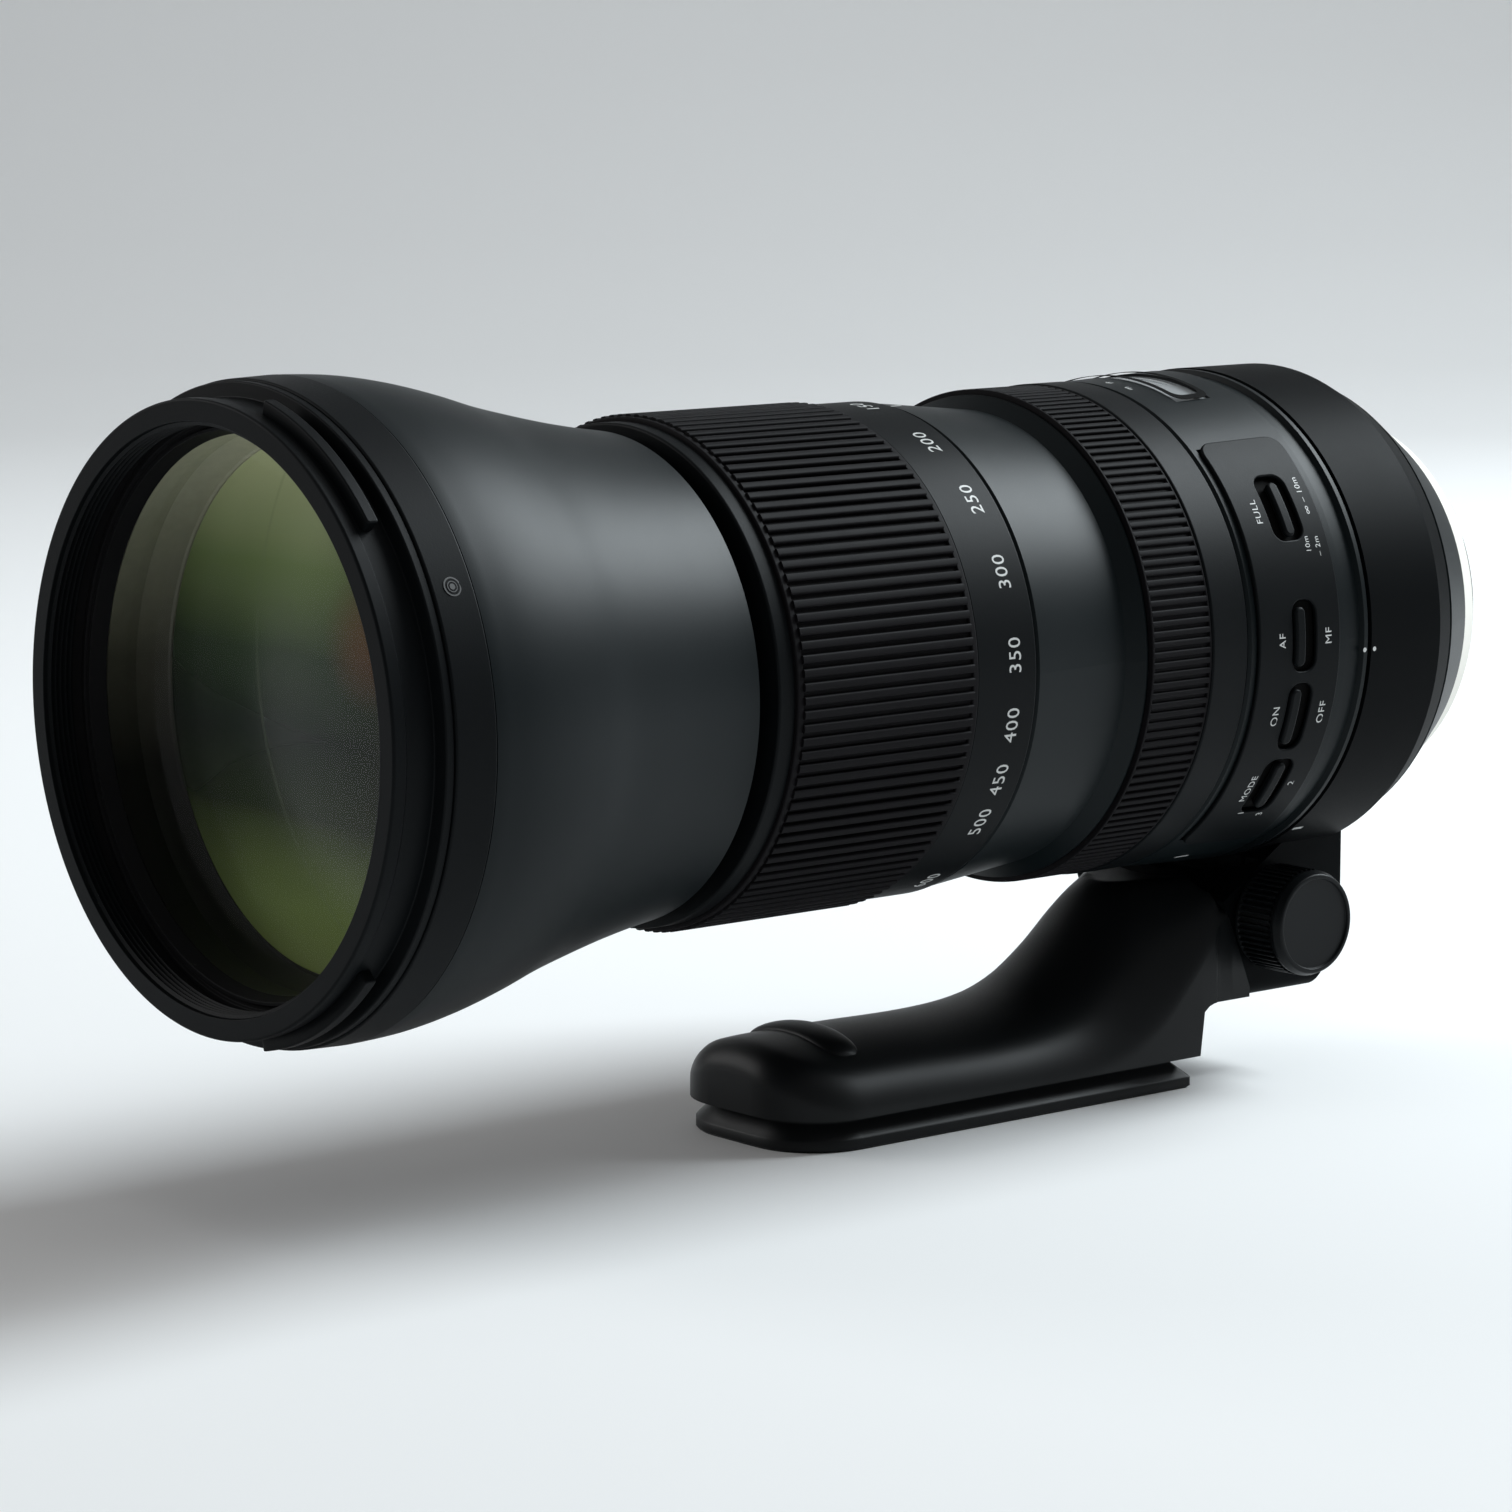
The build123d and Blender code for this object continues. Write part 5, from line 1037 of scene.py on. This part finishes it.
def foot_body():
    """The arched foot: a smooth skin over the sections, with a round toe and soft top edges."""
    edge, columns, rear_inset, seam_start, seam_slope = 5.0, 16, 0.35, 52.75, 23.0 / 9.3
    corner = FOOT_HALF - TOE_RADIUS
    work = bmesh.new()
    rows = []
    for s in foot_stations():
        beyond = max(0.0, s - (TOE_TIP - TOE_RADIUS))
        half = corner + math.sqrt(max(TOE_RADIUS**2 - beyond**2, 0.0))
        if s < LEG_REAR:
            half -= rear_inset
        low = foot_underside(s)
        seam = 46.0 + (seam_start - s) * seam_slope if s < seam_start else 0.0
        crown, shoulder = eased(FOOT, s, 1), eased(FOOT, s, 2)
        row = []
        for k in range(2 * columns + 1):
            x = half * math.sin((k / columns - 1) * math.pi / 2)
            drop = crown + (shoulder - crown) * (x / FOOT_HALF) ** 2
            if beyond > 0 and abs(x) > corner:
                inside = TOE_RADIUS - math.hypot(abs(x) - corner, beyond)
            else:
                inside = min(FOOT_HALF - abs(x), TOE_TIP - s)
            if inside < edge:
                drop += edge - math.sqrt(max(edge**2 - (edge - inside) ** 2, 0.0))
            barrel = math.sqrt(BARREL_RELIEF**2 - x**2)
            row.append((x, min(max(drop, barrel, seam), low)))
        loop = row + [(x, low) for x, drop in reversed(row)]
        rows.append([work.verts.new(Vector((x, -s, -drop)) * MM) for x, drop in loop])
    skin(work, rows)
    work.faces.new(rows[0])
    work.faces.new(rows[-1])
    bmesh.ops.remove_doubles(work, verts=work.verts, dist=2e-6)
    bmesh.ops.dissolve_degenerate(work, dist=2e-6, edges=work.edges)
    return mesh_of("foot_body", work, finish("foot"), True, 40)


def foot_rail():
    """The dovetail rail under the foot, with a round front and two threaded sockets."""
    rail_half, rail_front, rail_rear, front_corner, rear_corner = 19.0, 151.2, 58.0, 13.0, 1.2
    profile = [(84.2, 0.4), (83.8, 0.0), (82.3, 0.0), (82.0, 0.2), (79.7, 2.5), (79.4, 2.6), (78.3, 2.6)]
    underside, mouth, socket_end = 84.2, 83.9, 75.2
    work = bmesh.new()
    rows = []
    for low, inset in profile:
        half, front, rear = rail_half - inset, rail_front - inset, rail_rear + inset
        corner = front_corner - inset
        outline = []
        for side, end, turn, size in ((1, front, 0, corner), (-1, front, 90, corner),
                                      (-1, rear, 180, rear_corner), (1, rear, 270, rear_corner)):
            middle = end - size if end == front else end + size
            for k in range(9):
                angle = math.radians(turn + 90 * k / 8)
                x = side * (half - size) + size * math.cos(angle)
                outline.append((x, middle + size * math.sin(angle)))
        rows.append([work.verts.new(Vector((x, -y, -low)) * MM) for x, y in outline])
    skin(work, rows)
    work.faces.new(rows[-1])
    rims = rim_edges(work, rows[0])
    for station, radius in ((124.0, 2.55), (102.0, 4.0)):
        rings = []
        for low, size in ((underside, radius + 0.3), (mouth, radius), (socket_end, radius)):
            ring = []
            for k in range(32):
                angle = k * math.pi / 16
                place = (size * math.cos(angle), size * math.sin(angle) - station, -low)
                ring.append(work.verts.new(Vector(place) * MM))
            rings.append(ring)
        skin(work, rings)
        work.faces.new(rings[-1])
        rims += rim_edges(work, rings[0])
    bmesh.ops.triangle_fill(work, use_beauty=True, edges=rims)
    return mesh_of("foot_rail", work, finish("foot"), True, 38)


def thumb_ridge():
    """The low ridge across the toe of the foot, on an arc about a point below it."""
    arc, half_angle, centre_height, station = 30.0, 26.5, -96.3, -135.5
    half_width, height, fade, sections, points = 3.9, 1.35, 0.9, 28, 20
    work = bmesh.new()
    rows = []
    for j in range(sections + 1):
        share = 2 * j / sections - 1
        angle = math.radians(half_angle * share)
        size = math.sqrt(max(1 - abs(share) ** 5, 0.0))
        row = []
        for k in range(points):
            turn = math.tau * k / points
            radius = arc + height * size * math.sin(turn) - fade * (1 - size)
            place = (radius * math.sin(angle), station + half_width * size * math.cos(turn),
                     radius * math.cos(angle) + centre_height)
            row.append(work.verts.new(Vector(place) * MM))
        rows.append(row)
    skin(work, rows)
    return mesh_of("thumb_ridge", work, finish("foot"), True, 60)


class LENS_OT_collar(bpy.types.Operator):
    """Finish the tripod collar, its lock knob and the foot"""
    bl_idname = "lens.collar"
    bl_label = "Collar and foot"

    def execute(self, context):
        dressed("collar_ring", finish("collar"))
        dressed("foot_screws", finish("steel"))
        foot = join_pieces("foot_arched", [foot_body(), foot_rail(), thumb_ridge()])
        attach(foot, "collar")
        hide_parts("tripod_foot")

        shank, rim, grip, bead, face = 2.9, 9.55, 9.2, 9.75, 31.98
        shank_end, rim_start, grip_start, grip_end = 7.0, 20.52, 21.5, 29.3
        outline = soften([(0.0, shank_end), (shank, shank_end, 0.3), (shank, rim_start),
                          (rim, rim_start, 0.5), (rim, grip_start - 0.2, 0.2), (grip, grip_start),
                          (grip, grip_end), (rim, grip_end + 0.2, 0.15), (bead, 30.4, 0.4),
                          (9.1, face, 0.9), (8.35, face, 0.2), (8.2, 31.5, 0.15), (0.0, 31.4)])
        knob = lathe("knob_turned", outline, finish("knob"), 120)
        ridges = rib_set("knob_ridges", context.scene.lens_rings.knob_ridges,
                         {"Radius": 9.42, "Length": 7.9, "Width": 0.46, "Height": 0.8, "Edge": 0.16,
                          "Station": (grip_start + grip_end) / 2}, finish("knob"))
        whole = join_pieces("lock_knob_ridged", [knob, ridges])
        screw_axis = Vector((0, -39.7, -54.2)) * MM
        whole.data.transform(Matrix.Translation(screw_axis) @ Matrix.Rotation(-math.pi / 2, 4, "Z"))
        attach(whole, "lock_knob")
        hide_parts("lock_knob")
        return {"FINISHED"}


class LENS_OT_rear(bpy.types.Operator):
    """Finish the camera end: barrel, pale skirt, plated mount, contacts and screws"""
    bl_idname = "lens.rear"
    bl_label = "Camera end"

    def execute(self, context):
        looks = {"paint": ["rear_barrel"], "ivory": ["skirt_ring"], "chrome": ["bayonet_mount"],
                 "steel": ["mount_screws"], "dull": ["contact_block", "rear_cell", "diaphragm_plate"],
                 "brass": ["contact_pads"], "board": ["circuit_board"], "clear_glass": ["rear_lenses"]}
        for look, nodes in looks.items():
            for node in nodes:
                dressed(node, finish(look))
        return {"FINISHED"}


class LENS_OT_works(bpy.types.Operator):
    """Give the inner tubes, cells, motor and diaphragm their finishes"""
    bl_idname = "lens.works"
    bl_label = "Inner works"

    def execute(self, context):
        blades = [f"diaphragm_blade_{number}" for number in range(1, 8)]
        tubes = ["guide_barrel", "zoom_cam_sleeve", "focus_cam_tube", "focus_guide_tube"]
        looks = {"anodised": tubes + blades,
                 "dull": ["extension_tube", "zoom_group_cell", "focus_drive_ring", "focus_cell",
                          "stabiliser_housing", "stabiliser_guide", "stabiliser_cell",
                          "diaphragm_drive_ring"],
                 "steel": ["motor_stator", "motor_rotor"], "brass": ["front_cam_rollers"],
                 "clear_glass": ["zoom_group_lenses", "focus_lens", "stabiliser_lens"]}
        for look, nodes in looks.items():
            for node in nodes:
                dressed(node, finish(look))
        return {"FINISHED"}


class LENS_OT_scales(bpy.types.Operator):
    """Print the focal lengths, the switch words, the distance scale and the index marks"""
    bl_idname = "lens.scales"
    bl_label = "Scales and marks"

    def execute(self, context):
        white = finish("white")
        clocks = [("150", 6.0), ("200", 28.5), ("250", 47.7), ("300", 66.2), ("350", 85.2), ("400", 101.1),
                  ("450", 114.6), ("500", 126.7), ("600", 150.8)]
        marks = [(lettering(text, 2.8, 1.12), 43.52, -125.3, clock) for text, clock in clocks]
        printed("scale_focal_lengths", marks, white, "zoom_grip")
        printed("mark_zoom_index", [(bar_mark(0.45, 2.4), 43.17, -118.3, clocks[0][1])], white, "lens_body")

        # Words on the panel: the text, its station, its clock angle and its height
        words = [("FULL", -63.6, 58.8, 1.5), ("∞ – 10m", -51.6, 56.0, 1.35), ("10m", -54.2, 67.6, 1.2),
                 ("– 2m", -51.8, 68.2, 1.2), ("AF", -63.1, 88.6, 1.7), ("MF", -52.0, 88.4, 1.7),
                 ("ON", -63.0, 106.0, 1.7), ("OFF", -51.8, 106.0, 1.7), ("MODE", -62.6, 125.5, 1.5),
                 ("1", -60.5, 133.6, 1.5), ("2", -52.6, 124.8, 1.5), ("3", -55.4, 134.6, 1.5)]
        marks = []
        for text, station, clock, height in words:
            radius = PANEL_SKIN + SKIN_SLOPE * (station - PANEL_STATION)
            marks.append((lettering(text, height, 1.1), radius, station, clock))
        barrel_radius, barrel_front, units_station, units_height = 44.4, -69.8, -66.4, 1.8
        units_radius = barrel_radius + SKIN_SLOPE * (units_station - barrel_front)
        marks += [(lettering("ft", units_height), units_radius, units_station, 5.0),
                  (lettering("m", units_height), units_radius, units_station, 11.5),
                  (bar_mark(0.6, 3.2), 44.95, -60.5, 156.5)]
        printed("print_switch_words", marks, white, "lens_body")

        collar_skin, index_clock = 45.5, 92.7
        marks = [(dot_mark(0.42), collar_skin, -39.9, index_clock),
                 (bar_mark(0.8, 2.4), collar_skin, -38.9, 145.0)]
        printed("print_collar_index", marks, white, "collar")
        printed("print_body_index", [(dot_mark(0.42), collar_skin, -42.4, index_clock)], white, "lens_body")

        band_skin, mark_station, mark_clock = 54.1, -246.5, 62.6
        marks = [(shape, band_skin, mark_station, mark_clock)
                 for shape in (ring_mark(1.6, 0.25), dot_mark(0.5), ring_mark(0.95, 0.16))]
        printed("mark_hood_alignment", marks, finish("engraved"), "front_barrel")

        scale_skin, clocks = 42.62, (-14.0, -7.5, 0.0, 8.0, 16.0)
        rows = [(-60.0, ("7", "10", "15", "30", "100")), (-56.4, ("2.2", "3", "5", "10", "30"))]
        marks = [(lettering(text, 1.7), scale_skin, station, clock)
                 for station, texts in rows for text, clock in zip(texts, clocks)]
        printed("print_distances", marks, white, "focus_drive")
        return {"FINISHED"}


def area_light(name, place, size, power, aim, colour=(1, 1, 1)):
    """A square soft light in metres and watts, turned towards a point."""
    data = bpy.data.lights.new(name, "AREA")
    data.shape = "RECTANGLE"
    data.size = data.size_y = size
    data.energy = power
    data.color = colour
    lamp = linked(name, data)
    lamp.location = place
    lamp.rotation_euler = (Vector(place) - aim).to_track_quat("Z", "Y").to_euler()


def floor_sweep(middle, away):
    """The pale floor, which bends up into a backdrop behind the lens; sizes in metres."""
    near, far, bend, wall_top, half_width, floor_drop = -9.0, 1.4, 0.9, 3.2, 8.0, 0.0692
    paper = finish_shell("Pale paper", (0.86, 0.86, 0.86), 0.9, specular=0.2)[0]
    sweep = [(near, 0.0), (far, 0.0)]
    for a in range(1, 9):
        angle = a * math.pi / 16
        sweep.append((far + bend * math.sin(angle), bend - bend * math.cos(angle)))
    sweep.append((far + bend, wall_top))
    side = Vector((away.y, -away.x, 0))
    work = bmesh.new()
    rows = []
    for along, up in sweep:
        rows.append([work.verts.new(middle + away * along + side * across + Vector((0, 0, up - floor_drop)))
                     for across in (-half_width, half_width)])
    for near_row, far_row in zip(rows, rows[1:]):
        work.faces.new((near_row[0], near_row[1], far_row[1], far_row[0]))
    return mesh_of("stage_floor", work, paper, True, None, False)


class LENS_OT_stage(bpy.types.Operator):
    """Set the pale floor and backdrop, the soft lights and the camera"""
    bl_idname = "lens.stage"
    bl_label = "Stage"

    def execute(self, context):
        stage = context.scene.lens_stage
        middle = Vector((0, -0.135, -0.015))
        floor = floor_sweep(middle, Vector((-0.7597, 0.6328, 0)).normalized())
        area_light("Side light", (0.25, 1.10, 0.95), 0.8, stage.key_power, middle, (0.88, 0.96, 1.0))
        area_light("Left light", (-1.1, -1.0, 0.6), 0.8, stage.fill_power, middle)
        area_light("Top light", (0.2, 0.1, 1.7), 1.6, stage.top_power, middle)
        world = bpy.data.worlds.new("Studio")
        context.scene.world = world
        world.use_nodes = True
        glow = world.node_tree.nodes["Background"]
        glow.inputs["Color"].default_value = (1, 1, 1, 1)
        glow.inputs["Strength"].default_value = 0.20

        # The camera's place in mm, and which way is right and up in its picture
        camera_place = Vector((677.45, -710.47, 116.98))
        right = Vector((0.63999, 0.76838, 0.0))
        up = Vector((-0.11507, 0.09584, 0.98872))
        camera = bpy.data.cameras.new("View")
        camera.lens = stage.focal
        camera.sensor_width = 36
        camera.clip_start = 0.05
        view = linked("View", camera)
        turned = Matrix((right, up, right.cross(up))).transposed().to_4x4()
        view.matrix_world = Matrix.Translation(camera_place * MM) @ turned
        context.scene.camera = view
        context.scene.view_settings.view_transform = "Standard"
        return {"FINISHED"}


class LENS_PT_panel(bpy.types.Panel):
    """The lens's sizes, finishes and pieces"""
    bl_idname = "LENS_PT_panel"
    bl_label = "Zoom lens"
    bl_space_type = "VIEW_3D"
    bl_region_type = "UI"
    bl_category = "Lens"

    def draw(self, context):
        for group in (context.scene.lens_rings, context.scene.lens_finish, context.scene.lens_stage):
            box = self.layout.box()
            for name in group.__annotations__:
                box.prop(group, name)
        for operator in PIECES:
            self.layout.operator(operator.bl_idname)


PIECES = (LENS_OT_front, LENS_OT_glass, LENS_OT_zoom, LENS_OT_middle, LENS_OT_switches, LENS_OT_collar,
          LENS_OT_rear, LENS_OT_works, LENS_OT_scales, LENS_OT_stage)
GROUPS = (LensRings, LensFinish, LensStage)


def register():
    for item in GROUPS + PIECES + (LENS_PT_panel,):
        bpy.utils.register_class(item)
    bpy.types.Scene.lens_rings = bpy.props.PointerProperty(type=LensRings)
    bpy.types.Scene.lens_finish = bpy.props.PointerProperty(type=LensFinish)
    bpy.types.Scene.lens_stage = bpy.props.PointerProperty(type=LensStage)


def unregister():
    del bpy.types.Scene.lens_rings
    del bpy.types.Scene.lens_finish
    del bpy.types.Scene.lens_stage
    for item in reversed(GROUPS + PIECES + (LENS_PT_panel,)):
        bpy.utils.unregister_class(item)


def main():
    register()
    for item in PIECES:
        getattr(bpy.ops.lens, item.bl_idname.split(".")[1])()


if __name__ == "__main__":
    main()
